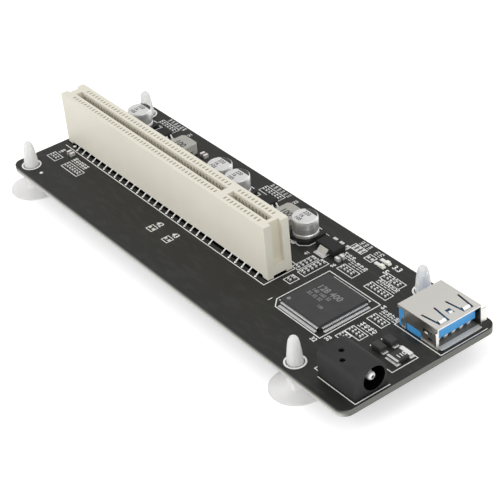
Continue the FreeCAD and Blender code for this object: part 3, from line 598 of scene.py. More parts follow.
def ribbon(path: Path, width: float, level: float, closed: bool = False) -> Arrays:
    """A flat line of even width along a path: each corner is moved along its mitre by half the width.

    Args:
        path: corners of the line.
        width: its width.
        level: its height.
        closed: whether the last corner joins the first.

    Returns:
        Points and faces of the line.
    """
    corners = np.asarray(path, float)
    following = np.roll(corners, -1, 0) - corners
    leading = np.roll(following, 1, 0)
    if not closed:
        following[-1], leading[0] = following[-2], following[0]
    unit = [way / np.linalg.norm(way, axis=1, keepdims=True) for way in (leading, following)]
    normals = [np.stack([-way[:, 1], way[:, 0]], -1) for way in unit]
    mitre = (normals[0] + normals[1]) / (1 + (normals[0] * normals[1]).sum(1, keepdims=True))
    sides = np.concatenate([corners - mitre * width / 2, corners + mitre * width / 2])
    points = np.column_stack([sides, np.full(len(sides), level)])
    count = len(corners)
    start = np.arange(count if closed else count - 1)
    end = (start + 1) % count
    return points, np.stack([start, end, end + count, start + count], -1)


def gathered(pieces: Sequence[Arrays]) -> Arrays:
    """Joins meshes whose faces have the same number of corners.

    Args:
        pieces: points and faces of each mesh.

    Returns:
        Points and faces of the one mesh.
    """
    starts = np.cumsum([0] + [len(points) for points, _ in pieces[:-1]])
    return (
        np.concatenate([points for points, _ in pieces]),
        np.concatenate([faces + start for (_, faces), start in zip(pieces, starts)]),
    )


def figures(
    text: str, place: Sequence[float], size: float, turn: float = 0.0, bold: float = 0.03, steps: int = 3
) -> Arrays:
    """Plain figures laid flat, as triangles.

    Args:
        text: the figures.
        place: lower left corner in millimetres.
        size: height of a figure in millimetres.
        turn: turn about the vertical in degrees.
        bold: how far the strokes are spread, as a share of the height.
        steps: straight lines in each curve of a stroke.

    Returns:
        Points and faces.
    """
    curve = bpy.data.curves.new("figures", "FONT")
    curve.body = text
    curve.size = FONT_SCALE * size
    curve.offset = bold * size
    curve.resolution_u = steps
    holder = bpy.data.objects.new("figures", curve)
    mesh = bpy.data.meshes.new_from_object(holder)
    bpy.data.objects.remove(holder)
    mesh.transform(Matrix.Translation(place) @ Matrix.Rotation(math.radians(turn), 4, "Z"))
    mesh.calc_loop_triangles()
    points = np.empty(len(mesh.vertices) * 3)
    faces = np.empty(len(mesh.loop_triangles) * 3, np.int32)
    mesh.vertices.foreach_get("co", points)
    mesh.loop_triangles.foreach_get("vertices", faces)
    bpy.data.meshes.remove(mesh)
    return points.reshape(-1, 3), faces.reshape(-1, 3)


def metres(place: Sequence[float]) -> Place:
    """A place in millimetres as one in metres."""
    return tuple(float(value) * MM for value in place)


def oblong(left: float, right: float, low: float, high: float) -> Path:
    """Corners of a rectangle."""
    return [(left, low), (right, low), (right, high), (left, high)]


def placed(name: str, data: bpy.types.ID) -> bpy.types.Object:
    """Puts an object into the scene.

    Args:
        name: the object's name.
        data: its mesh, camera or light.

    Returns:
        The new object.
    """
    item = bpy.data.objects.new(name, data)
    bpy.context.collection.objects.link(item)
    return item


class Workshop:
    """Makes meshes from arrays, puts them on the board's body and reads the frame's solids."""

    def __init__(self) -> None:
        """Starts with no materials made and finds the board."""
        self.made: dict[str, bpy.types.Material] = {}
        low, high = self.box("circuit_board")
        self.corner = low[:2]
        self.top = float(high[2])
        self.under = float(low[2])

    def material(self, finish: Finish) -> bpy.types.Material:
        """The material of a finish, made once for each name.

        Args:
            finish: the finish.

        Returns:
            Its material.
        """
        if finish.name not in self.made:
            self.made[finish.name] = finish.material()
        return self.made[finish.name]

    def piece(
        self, name: str, arrays: Arrays, finish: Finish, slot: Slot, smooth: Optional[float] = None
    ) -> bpy.types.Object:
        """Puts a mesh into the scene.

        Args:
            name: the piece's name.
            arrays: corners in millimetres and corner numbers of each face.
            finish: its finish.
            slot: not used.
            smooth: edges below this angle in degrees are smooth, or None for flat faces.

        Returns:
            The new object.
        """
        points, faces = arrays
        mesh = bpy.data.meshes.new(name)
        mesh.from_pydata((points * MM).tolist(), [], faces.tolist())
        work = bmesh.new()
        work.from_mesh(mesh)
        bmesh.ops.remove_doubles(work, verts=work.verts, dist=MERGE)
        work.to_mesh(mesh)
        work.free()
        if smooth is not None:
            mesh.polygons.foreach_set("use_smooth", np.ones(len(mesh.polygons), bool))
            mesh.set_sharp_from_angle(angle=math.radians(smooth))
        mesh.materials.append(self.material(finish))
        item = placed(name, mesh)
        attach(item, "root")
        LOG.info("%s: %d faces", name, len(mesh.polygons))
        return item

    def dress(self, finish: Finish, *nodes: str) -> None:
        """Gives solids of the frame their finish.

        Args:
            finish: the finish.
            nodes: names of the solids.
        """
        for node in nodes:
            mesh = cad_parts[node].data
            mesh.materials.clear()
            mesh.materials.append(self.material(finish))

    def box(self, node: str) -> Arrays:
        """Low and high corner of a solid in millimetres."""
        low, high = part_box(node)
        return np.array(low) / MM, np.array(high) / MM

    def blocks(self, *nodes: str) -> Arrays:
        """Low and high corners of the separate blocks of some solids.

        Args:
            nodes: names of solids made of blocks.

        Returns:
            Low corners and high corners, one row for each block.
        """
        found = [self.blocks_of(node) for node in nodes]
        return tuple(np.concatenate(side) for side in zip(*found))

    def blocks_of(self, node: str) -> Arrays:
        """Low and high corners of the separate blocks of one solid.

        Corners at one place, to a thousandth of a millimetre, count as one. Each then takes the lowest
        number among its neighbours until none changes.

        Args:
            node: name of a solid made of blocks.

        Returns:
            Low corners and high corners, one row for each block.
        """
        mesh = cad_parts[node].data
        points = np.empty(len(mesh.vertices) * 3, np.float32)
        edges = np.empty(len(mesh.edges) * 2, np.int32)
        mesh.vertices.foreach_get("co", points)
        mesh.edges.foreach_get("vertices", edges)
        points, same = np.unique(np.round(points.reshape(-1, 3) / MM, 3), axis=0, return_inverse=True)
        first, second = same.ravel()[edges.reshape(-1, 2)].T
        label = np.arange(len(points))
        while True:
            lowest = label.copy()
            np.minimum.at(lowest, first, label[second])
            np.minimum.at(lowest, second, label[first])
            if np.array_equal(lowest, label):
                break
            label = lowest
        group = np.unique(label, return_inverse=True)[1].ravel()
        lows = np.full((group.max() + 1, 3), np.inf)
        highs = -lows
        np.minimum.at(lows, group, points)
        np.maximum.at(highs, group, points)
        return lows, highs

    def on_board(self, path: Path) -> np.ndarray:
        """Places counted from the board's near left corner, as places in the frame."""
        return np.asarray(path, float) + self.corner

    def upon(self, spots: np.ndarray, level: float) -> np.ndarray:
        """Places in plan with a height added."""
        return np.column_stack([spots, np.full(len(spots), level)])


@dataclass
class Legend:
    """White outlines, numbers and dots printed on the board, and its bare pads.

    Places are counted from the board's near left corner. The frames go round the slot, the chip, the jack
    in two lines, the cable socket and the fuse, and the groups go round the small parts.
    """

    shop: Workshop
    line: float = 0.24
    fine: float = 0.2
    lift: float = 0.02
    frames: tuple[tuple[Path, bool], ...] = (
        (((2.2, 25.3), (86.9, 25.3), (86.9, 15.1), (2.2, 15.1)), False),
        (((95.0, 12.1), (110.4, 12.1), (110.4, 29.2), (93.0, 29.2), (93.0, 14.1)), True),
        (((120.0, 3.75), (132.0, 3.75), (132.0, 13.1)), False),
        (((119.0, 5.0), (117.5, 5.0), (117.5, 6.5)), False),
        (((117.6, 40.6), (117.6, 26.9), (132.2, 26.9), (132.2, 40.2)), False),
        (((127.7, 15.8), (129.5, 15.8), (129.5, 22.95), (124.0, 22.95)), False),
    )
    groups: tuple[tuple[float, float, float, float], ...] = (
        (85.7, 87.8, 24.2, 30.2), (88.3, 90.8, 23.7, 30.8), (88.3, 90.7, 19.6, 22.3),
        (93.3, 98.6, 31.0, 33.4), (102.7, 109.9, 31.0, 33.4), (102.7, 105.2, 35.7, 38.1),
        (105.8, 108.9, 35.7, 38.1), (112.0, 116.8, 23.9, 26.4), (112.0, 116.8, 17.7, 20.2),
        (112.0, 114.5, 15.1, 17.5), (88.9, 93.0, 38.5, 40.4), (94.5, 96.9, 38.0, 40.0),
        (3.2, 7.1, 8.7, 11.2), (10.2, 17.4, 8.7, 11.2), (10.1, 17.4, 38.2, 40.7),
        (54.9, 62.2, 38.2, 40.7), (49.2, 51.4, 8.6, 10.6), (55.7, 57.9, 8.6, 10.6),
    )
    can_margin: float = 0.45
    can_cut: float = 1.6
    marks: tuple[tuple[str, float, float, float, float], ...] = (
        ("1", 91.6, 12.4, 1.2, 0.0),
        ("32", 108.9, 10.4, 1.2, 0.0),
        ("33", 112.2, 12.6, 1.2, QUARTER_TURN),
        ("64", 112.0, 28.4, 1.0, QUARTER_TURN),
        ("96", 92.4, 30.4, 1.0, QUARTER_TURN),
        ("3.3", 101.7, 40.0, 1.5, 0.0),
        ("5", 101.5, 37.4, 1.5, 0.0),
        ("42", 49.3, 11.2, 1.5, 0.0),
        ("43", 55.8, 11.2, 1.5, 0.0),
        ("21", 21.9, 40.5, 1.0, QUARTER_TURN),
        ("22", 66.0, 40.5, 1.0, QUARTER_TURN),
        ("41", 84.4, 29.2, 1.0, QUARTER_TURN),
    )
    rows: tuple[tuple[float, float, int, float], ...] = (
        (93.4, 33.8, 4, 1.0), (102.9, 33.8, 5, 1.0), (112.1, 26.8, 4, 1.0), (112.1, 20.6, 4, 1.0),
        (88.2, 34.7, 4, 1.0), (88.9, 40.7, 3, 0.8), (94.4, 40.4, 2, 0.9), (9.6, 11.6, 5, 1.0),
        (3.4, 11.6, 1, 1.0), (10.6, 41.05, 6, 0.66), (54.8, 41.05, 6, 0.66),
    )
    row_pitch: float = 1.3
    row_start: int = 117
    row_step: int = 9
    dots: Path = ((9.5, 3.2), (4.6, 16.3))
    dot_radius: float = 0.45
    pads: Path = (
        (49.6, 9.6), (50.9, 9.6), (56.1, 9.6), (57.4, 9.6), (89.8, 39.0), (91.0, 39.0),
        (92.2, 39.0), (89.8, 39.9), (91.0, 39.9), (92.2, 39.9), (95.1, 39.0), (96.3, 39.0),
    )
    pad_half: float = 0.38
    pad_height: float = 0.03
    slot_shadow_margin: float = 0.35

    def can_outline(self, index: int) -> Path:
        """Outline round a can's base with its two cut corners.

        Args:
            index: the can's number.

        Returns:
            Corners of the outline, in the frame.
        """
        low, high = self.shop.box(f"capacitor_{index}_base")
        (left, near), (right, far) = low[:2] - self.can_margin, high[:2] + self.can_margin
        cut = self.can_cut
        front = [(left, near + cut), (left + cut, near), (right - cut, near), (right, near + cut)]
        return [(left, far), *front, (right, far)]

    def outlines(self) -> Arrays:
        """Outlines round the parts.

        Returns:
            Points and faces of all the lines.
        """
        shop, level = self.shop, self.shop.top + self.lift
        lines = [ribbon(shop.on_board(path), self.line, level, closed) for path, closed in self.frames]
        lines += [ribbon(shop.on_board(oblong(*group)), self.fine, level, True) for group in self.groups]
        lines += [ribbon(self.can_outline(index), self.line, level, True) for index in CANS]
        return gathered(lines)

    def numbers(self) -> Arrays:
        """Plain numbers beside the parts.

        Returns:
            Points and faces of all the figures.
        """
        marks = list(self.marks)
        for row, (x, y, count, size) in enumerate(self.rows):
            first = self.row_start + self.row_step * row
            marks += [
                (str(first + item), x + self.row_pitch * (item + 1), y, size, QUARTER_TURN)
                for item in range(count)
            ]
        level = self.shop.top + self.lift
        return gathered(
            [
                figures(text, (*self.shop.on_board((x, y)), level), size, turn)
                for text, x, y, size, turn in marks
            ]
        )

    def build(self) -> None:
        """Dresses the board, with a painted shadow under the slot, and puts the lines, numbers, dots and
        pads on it.
        """
        low, high = self.shop.box("slot_housing")
        # Painted shadow under the slot housing, a little wider than it
        start = metres((low[0], low[1] - self.slot_shadow_margin, self.shop.top - self.lift))
        end = metres((high[0], high[1] + self.slot_shadow_margin, self.shop.top + self.lift))
        self.shop.dress(replace(BOARD, slot_shadow_low=start, slot_shadow_high=end), "circuit_board")
        self.shop.piece("legend_outlines", self.outlines(), INK, Slot.BOARD)
        self.shop.piece("legend_numbers", self.numbers(), INK, Slot.BOARD)
        spots = self.shop.upon(self.shop.on_board(self.dots), self.shop.top)
        self.shop.piece("legend_dots", turned(disc(self.dot_radius, self.lift), spots), INK, Slot.BOARD)
        bare = self.shop.on_board(self.pads)
        lows = self.shop.upon(bare - self.pad_half, self.shop.top)
        highs = self.shop.upon(bare + self.pad_half, self.shop.top + self.pad_height)
        self.shop.piece("bare_pads", boxes(lows, highs), SOLDER, Slot.TIN)


@dataclass
class CardSlot:
    """The card slot's lower edges, and its solder: a cone at each tail on top and a joint below."""

    shop: Workshop
    pitch: float = 1.27
    long_run: int = 49
    key: int = 2
    short_run: int = 11
    inner: float = 1.95
    outer: float = 4.45
    # Recess in the slot's end at high x, which gets painted shade
    recess_width: float = 2.9
    recess_depth: float = 1.1
    recess_bottom: float = 3.2
    recess_margin: float = 0.05
    recess_skin: float = 0.02
    standoff: float = 1.5
    foot_length: float = 2.0
    foot_width: float = 1.6
    skirt_bottom: float = 0.6
    skirt_wall: float = 0.5
    cone: Path = ((0.36, 0.0), (0.33, 0.04), (0.24, 0.1), (0.17, 0.2), (0.0, 0.22))
    joint: Path = ((0.0, -1.25), (0.16, -1.2), (0.2, -0.8), (0.36, -0.45), (0.6, -0.12), (0.66, 0.0))
    segments: int = 12
    smooth: float = 40.0

    def tails(self) -> np.ndarray:
        """Where the tails meet the board: by turns near the housing and further out, on both sides.

        Returns:
            Places in plan, one row each.
        """
        low, high = self.shop.box("slot_contacts_near")
        near, far = self.shop.box("slot_housing")
        short = np.arange(self.short_run) + self.long_run + self.key
        position = np.concatenate([np.arange(self.long_run), short])
        x = (low[0] + high[0]) / 2 + (position - position[-1] / 2) * self.pitch
        reach = np.where(position % 2 == 0, self.inner, self.outer)
        middle = (near[1] + far[1]) / 2
        return np.concatenate([np.column_stack([x, middle + sign * reach]) for sign in (-1, 1)])

    def skirt(self) -> Arrays:
        """Lower edges of the housing between its corner feet, along both sides and both ends.

        Returns:
            Points and faces of the four edges.
        """
        low, high = self.shop.box("slot_housing")
        bottom, top = self.shop.top + self.skirt_bottom, self.shop.top + self.standoff
        left, right = low[0] + self.foot_length, high[0] - self.foot_length
        near, far = low[1] + self.foot_width, high[1] - self.foot_width
        wall = self.skirt_wall
        edges = [
            ((left, low[1], bottom), (right, low[1] + wall, top)),
            ((left, high[1] - wall, bottom), (right, high[1], top)),
            ((low[0], near, bottom), (low[0] + wall, far, top)),
            ((high[0] - wall, near, bottom), (high[0], far, top)),
        ]
        return boxes(*zip(*edges))

    def build(self) -> None:
        """Dresses the slot, with painted shade in the recess at its end at high x, and adds its lower edges
        and the solder.
        """
        low, high = self.shop.box("slot_housing")
        # Painted shade: the recess in the slot's end at high x takes a darker ivory
        middle, half = (low[1] + high[1]) / 2, self.recess_width / 2
        rear = high[0] - self.recess_depth - self.recess_margin
        start = metres((rear, middle - half, self.shop.top + self.recess_bottom))
        end = metres((high[0] - self.recess_skin, middle + half, high[2] - self.recess_skin))
        ivory = replace(IVORY, painted_shade_low=start, painted_shade_high=end)
        self.shop.dress(ivory, "slot_housing")
        self.shop.piece("slot_skirt", self.skirt(), ivory, Slot.IVORY)
        self.shop.dress(CONTACT, "slot_contacts_near", "slot_contacts_far")
        spots = self.tails()
        above = turned(self.cone, self.shop.upon(spots, self.shop.top), self.segments)
        self.shop.piece("slot_solder_top", above, TIN, Slot.TIN, self.smooth)
        under = turned(self.joint, self.shop.upon(spots, self.shop.under), self.segments)
        self.shop.piece("slot_solder_under", under, SOLDER, Slot.TIN, self.smooth)


@dataclass
class BridgeChip:
    """The bridge chip: bent leads with painted shade on their slope, pads, first-lead mark and plain
    figures.
    """

    shop: Workshop
    leads: int = 32
    lead_width: float = 0.25
    corner: float = 0.6
    pad_width: float = 0.28
    pad_start: float = 7.3
    pad_end: float = 8.03
    pad_height: float = 0.03
    # Band of heights over the board where the leads' slope gets painted shade
    slope: Span = (0.2, 0.58)
    slope_reach: float = 2.0
    shoulder: Path = ((6.75, 0.76), (7.14, 0.76), (7.24, 0.68), (7.44, 0.16), (8.0, 0.14))
    sole: Path = ((6.75, 0.62), (7.08, 0.62), (7.14, 0.58), (7.34, 0.02), (8.0, 0.0))
    mark_inset: float = 1.3
    mark_radius: float = 0.5
    mark_height: float = 0.01
    lines: tuple[tuple[str, float, float, float], ...] = (
        ("128 400", 2.2, 8.3, 1.7),
        ("140 160 32", 2.2, 6.9, 0.95),
        ("32 32 32", 2.2, 5.5, 0.95),
        ("128", 7.6, 3.9, 0.8),
    )

    def round_about(self, arrays: Arrays, center: np.ndarray) -> Arrays:
        """Repeats the row of one side on all four sides of a centre.

        Args:
            arrays: points and faces of the row, about zero.
            center: the centre.

        Returns:
            Points and faces of the four rows.
        """
        points, faces = arrays
        turns = [np.array(Matrix.Rotation(quarter * math.pi / 2, 3, "Z")) for quarter in range(4)]
        return gathered([(points @ turn.T + center, faces) for turn in turns])

    def lead_row(self, along: np.ndarray) -> Arrays:
        """Bent leads of one side: the upper and lower line of a lead swept over its width.

        Args:
            along: place of each lead along its side.

        Returns:
            Points and faces of the leads.
        """
        loop = np.concatenate([np.asarray(self.shoulder), np.asarray(self.sole)[::-1]])
        side = np.array([-0.5, 0.5]) * self.lead_width
        count = len(loop)
        points = np.empty((len(along), 2, count, 3))
        points[..., 0] = loop[:, 0]
        points[..., 1] = along[:, None, None] + side[None, :, None]
        points[..., 2] = loop[:, 1]
        corner = np.arange(count)
        after = np.roll(corner, -1)
        walls = np.column_stack([corner, after, after + count, corner + count])
        half = np.arange(count // 2 - 1)
        cheek = np.column_stack([half, count - 1 - half, count - 2 - half, half + 1])
        one = np.concatenate([walls, cheek, cheek[:, ::-1] + count])
        faces = (np.arange(len(along))[:, None, None] * 2 * count + one[None]).reshape(-1, 4)
        return points.reshape(-1, 3), faces

    def pad_row(self, along: np.ndarray) -> Arrays:
        """Pads under the leads of one side.

        Args:
            along: place of each lead along its side.

        Returns:
            Points and faces of the pads.
        """
        half, row = self.pad_width / 2, np.ones(len(along))
        low = np.column_stack([self.pad_start * row, along - half, 0.0 * row])
        high = np.column_stack([self.pad_end * row, along + half, self.pad_height * row])
        return boxes(low, high)

    def build(self) -> None:
        """Dresses the chip and adds its leads, pads and marks."""
        self.shop.dress(CHIP, "bridge_chip_body")
        self.shop.dress(TIN, "bridge_chip_leads")
        low, high = self.shop.box("bridge_chip_body")
        center = np.array([*((low + high) / 2)[:2], self.shop.top])
        span = (high[0] - low[0]) / 2 - self.corner
        along = np.linspace(-span, span, self.leads)
        # Painted shade on the leads' slope, in a band of heights round the chip
        start = metres((*(low[:2] - self.slope_reach), self.shop.top + self.slope[0]))
        end = metres((*(high[:2] + self.slope_reach), self.shop.top + self.slope[1]))
        bent = replace(BENT, painted_shade_low=start, painted_shade_high=end)
        rows = self.round_about(self.lead_row(along), center)
        leads = self.shop.piece("bridge_chip_bent_leads", rows, bent, Slot.TIN)
        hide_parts("bridge_chip_leads")
        pads = self.round_about(self.pad_row(along), center)
        self.shop.piece("bridge_chip_pads", pads, LEAD, Slot.TIN)
        spot = (*(low[:2] + self.mark_inset), high[2])
        mark = turned(disc(self.mark_radius, self.mark_height), [spot])
        self.shop.piece("bridge_chip_first_mark", mark, GREY_INK, Slot.MOULDING)
        level = high[2] + PRINT_LIFT
        lines = [figures(text, (low[0] + x, low[1] + y, level), size) for text, x, y, size in self.lines]
        self.shop.piece("bridge_chip_figures", gathered(lines), GREY_INK, Slot.MOULDING)


@dataclass
class CanCapacitors:
    """Four cans, each turned with a crimp above its base and a rolled top edge, and the figures on them."""

    shop: Workshop
    crimp: float = 0.18
    crimp_start: float = 0.7
    crimp_length: float = 0.75
    crimp_rings: int = 9
    roll: float = 0.34
    roll_rings: int = 7
    foot_bevel: float = 0.12
    lid_depth: float = 0.04
    chord_share: float = 0.58
    values: tuple[str, ...] = ("220", "16", "105")
    value_size: float = 1.05
    value_left: float = 1.35
    value_rise: float = 0.45
    value_pitch: float = 1.35
    segments: int = 64
    smooth: float = 35.0

    def profile(self, radius: float, bottom: float, top: float) -> np.ndarray:
        """Outline of a can: foot, crimp as a squared half wave, wall and a quarter-round edge.

        Args:
            radius: of the wall.
            bottom: height of its foot.
            top: height of its top.

        Returns:
            Radius and height of each ring.
        """
        wave = np.linspace(0, math.pi, self.crimp_rings)
        level = bottom + self.crimp_start + self.crimp_length * wave / math.pi
        groove = np.column_stack([radius - self.crimp * np.sin(wave) ** 2, level])
        turn = np.linspace(0, math.pi / 2, self.roll_rings)
        round_edge = np.column_stack([np.cos(turn), np.sin(turn)]) * self.roll
        edge = round_edge + (radius - self.roll, top - self.roll)
        foot = [(0.0, bottom), (radius - self.foot_bevel, bottom), (radius, bottom + self.foot_bevel)]
        return np.concatenate([foot, groove, edge, [(0.0, top)]])

    def build(self) -> None:
        """Dresses the bases and leads and puts in the cans with their figures."""
        prints = []
        for index in CANS:
            self.shop.dress(BASE, f"capacitor_{index}_base")
            self.shop.dress(TIN, f"capacitor_{index}_leads")
            low, high = self.shop.box(f"capacitor_{index}_can")
            x, y, _ = (low + high) / 2
            radius = (high[0] - low[0]) / 2
            finish = replace(
                CAN,
                name=f"{CAN.name}_{index}",
                center=metres((x, y, 0.0)),
                top=(high[2] - self.lid_depth) * MM,
                chord=self.chord_share * radius * MM,
            )
            self.shop.dress(finish, f"capacitor_{index}_can")
            arrays = turned(self.profile(radius, low[2], high[2]), [(x, y, 0.0)], self.segments)
            can = self.shop.piece(f"can_{index}", arrays, finish, Slot.CAN, self.smooth)
            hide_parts(f"capacitor_{index}_can")
            for line, text in enumerate(self.values):
                rise = self.value_rise - self.value_pitch * line
                place = (x - self.value_left, y + rise, high[2] + PRINT_LIFT)
                prints.append(figures(text, place, self.value_size))
        self.shop.piece("can_figures", gathered(prints), DARK_INK, Slot.CAN)


@dataclass
class SmallParts:
    """Inductors, converters, regulator, chip parts, lamps, diodes and fuse: end caps, pads and figures."""

    shop: Workshop
    cap_share: float = 0.34
    proud: float = 0.015
    pad_margin: float = 0.28
    pad_height: float = 0.025
    lamp_pad: float = 1.5
    lamp_pad_height: float = 0.3
    fuse_cap: float = 0.45
    fuse_value: tuple[str, float, float, float] = ("110", 0.7, 0.6, 1.15)
    coil_value: tuple[str, float, float, float] = ("100", 1.2, 2.4, 1.8)
    chips: tuple[str, ...] = (
        "chip_capacitors",
        "chip_resistors",
        "chip_resistor_stacks",
        *(f"ceramic_capacitor_{index}" for index in (1, 2, 3)),
    )
    leaded: tuple[str, ...] = (
        "regulator_leads",
        "diode_leads",
        "fuse_terminals",
        *(f"converter_{index}_leads" for index in TWO),
        *(f"inductor_{index}_terminals" for index in TWO),
        *(f"capacitor_{index}_leads" for index in CANS),
    )

    def dress(self) -> None:
        """Gives each small part its finish."""
        self.shop.dress(COIL, "inductor_1_body", "inductor_2_body")
        self.shop.dress(SMALL, "converter_1_body", "converter_2_body", "regulator_body")
        self.shop.dress(CHIP, "diode_bodies", "fuse_body")
        self.shop.dress(RESISTOR, "chip_resistors", "chip_resistor_stacks")
        self.shop.dress(CERAMIC, "chip_capacitors")
        self.shop.dress(OLIVE, "ceramic_capacitor_3")
        self.shop.dress(BROWN, "ceramic_capacitor_1", "ceramic_capacitor_2")
        self.shop.dress(LAMP, "indicator_lamps")
        self.shop.dress(TIN, *self.leaded)

    def end_caps(self) -> Arrays:
        """Tinned caps over both ends of each chip part, along its longer side.

        Returns:
            Points and faces of the caps.
        """
        low, high = self.shop.blocks(*self.chips)
        size = high - low
        row = np.arange(len(low))
        axis = np.where(size[:, 0] > size[:, 1], 0, 1)
        cap = self.cap_share * size[row, axis]
        starts, stops = low - self.proud, high + self.proud
        starts[:, 2] = self.shop.top
        stop_low, start_high = stops.copy(), starts.copy()
        stop_low[row, axis] = low[row, axis] + cap
        start_high[row, axis] = high[row, axis] - cap
        return boxes(np.concatenate([starts, start_high]), np.concatenate([stop_low, stops]))

    def pads(self) -> Arrays:
        """Tinned pads under the leads and terminals of the larger parts.

        Returns:
            Points and faces of the pads.
        """
        low, high = self.shop.blocks(*self.leaded)
        low[:, :2] -= self.pad_margin
        high[:, :2] += self.pad_margin
        low[:, 2], high[:, 2] = self.shop.top, self.shop.top + self.pad_height
        return boxes(low, high)

    def lamp_ends(self) -> Arrays:
        """Soldered ends beside the lamps.

        Returns:
            Points and faces of the ends.
        """
        low, high = self.shop.blocks("indicator_lamps")
        high[:, 0] = low[:, 0]
        low[:, 0] -= self.lamp_pad
        high[:, 2] = self.shop.top + self.lamp_pad_height
        return boxes(low, high)

    def cap_of_fuse(self) -> Arrays:
        """A tinned cap over the fuse's far terminal, reaching in over its body.

        Returns:
            Points and faces of the cap.
        """
        low, high = self.shop.blocks("fuse_terminals")
        middle = (low[:, 1].min() + high[:, 1].max()) / 2
        far = low[:, 1] > middle
        return boxes(low[far] - (self.proud, self.fuse_cap, 0.0), high[far] + self.proud)

    def fuse_figures(self) -> Arrays:
        """A plain value across the top of the fuse.

        Returns:
            Points and faces of the figures.
        """
        low, high = self.shop.box("fuse_body")
        text, right, near, size = self.fuse_value
        return figures(text, (high[0] - right, low[1] + near, high[2] + PRINT_LIFT), size, QUARTER_TURN)

    def coil_figures(self) -> Arrays:
        """A plain value on top of each inductor.

        Returns:
            Points and faces of the figures.
        """
        text, left, near, size = self.coil_value
        tops = [self.shop.box(f"inductor_{index}_body") for index in TWO]
        spots = [(low[0] + left, low[1] + near, high[2] + PRINT_LIFT) for low, high in tops]
        return gathered([figures(text, spot, size) for spot in spots])

    def build(self) -> None:
        """Dresses the parts and adds their caps, pads and figures."""
        self.dress()
        self.shop.piece("chip_end_caps", self.end_caps(), LEAD, Slot.TIN)
        self.shop.piece("lead_pads", self.pads(), LEAD, Slot.TIN)
        self.shop.piece("lamp_ends", self.lamp_ends(), LEAD, Slot.TIN)
        self.shop.piece("fuse_cap", self.cap_of_fuse(), LEAD, Slot.TIN)
        self.shop.piece("fuse_figures", self.fuse_figures(), INK, Slot.MOULDING)
        self.shop.piece("inductor_figures", self.coil_figures(), DARK_INK, Slot.COIL)


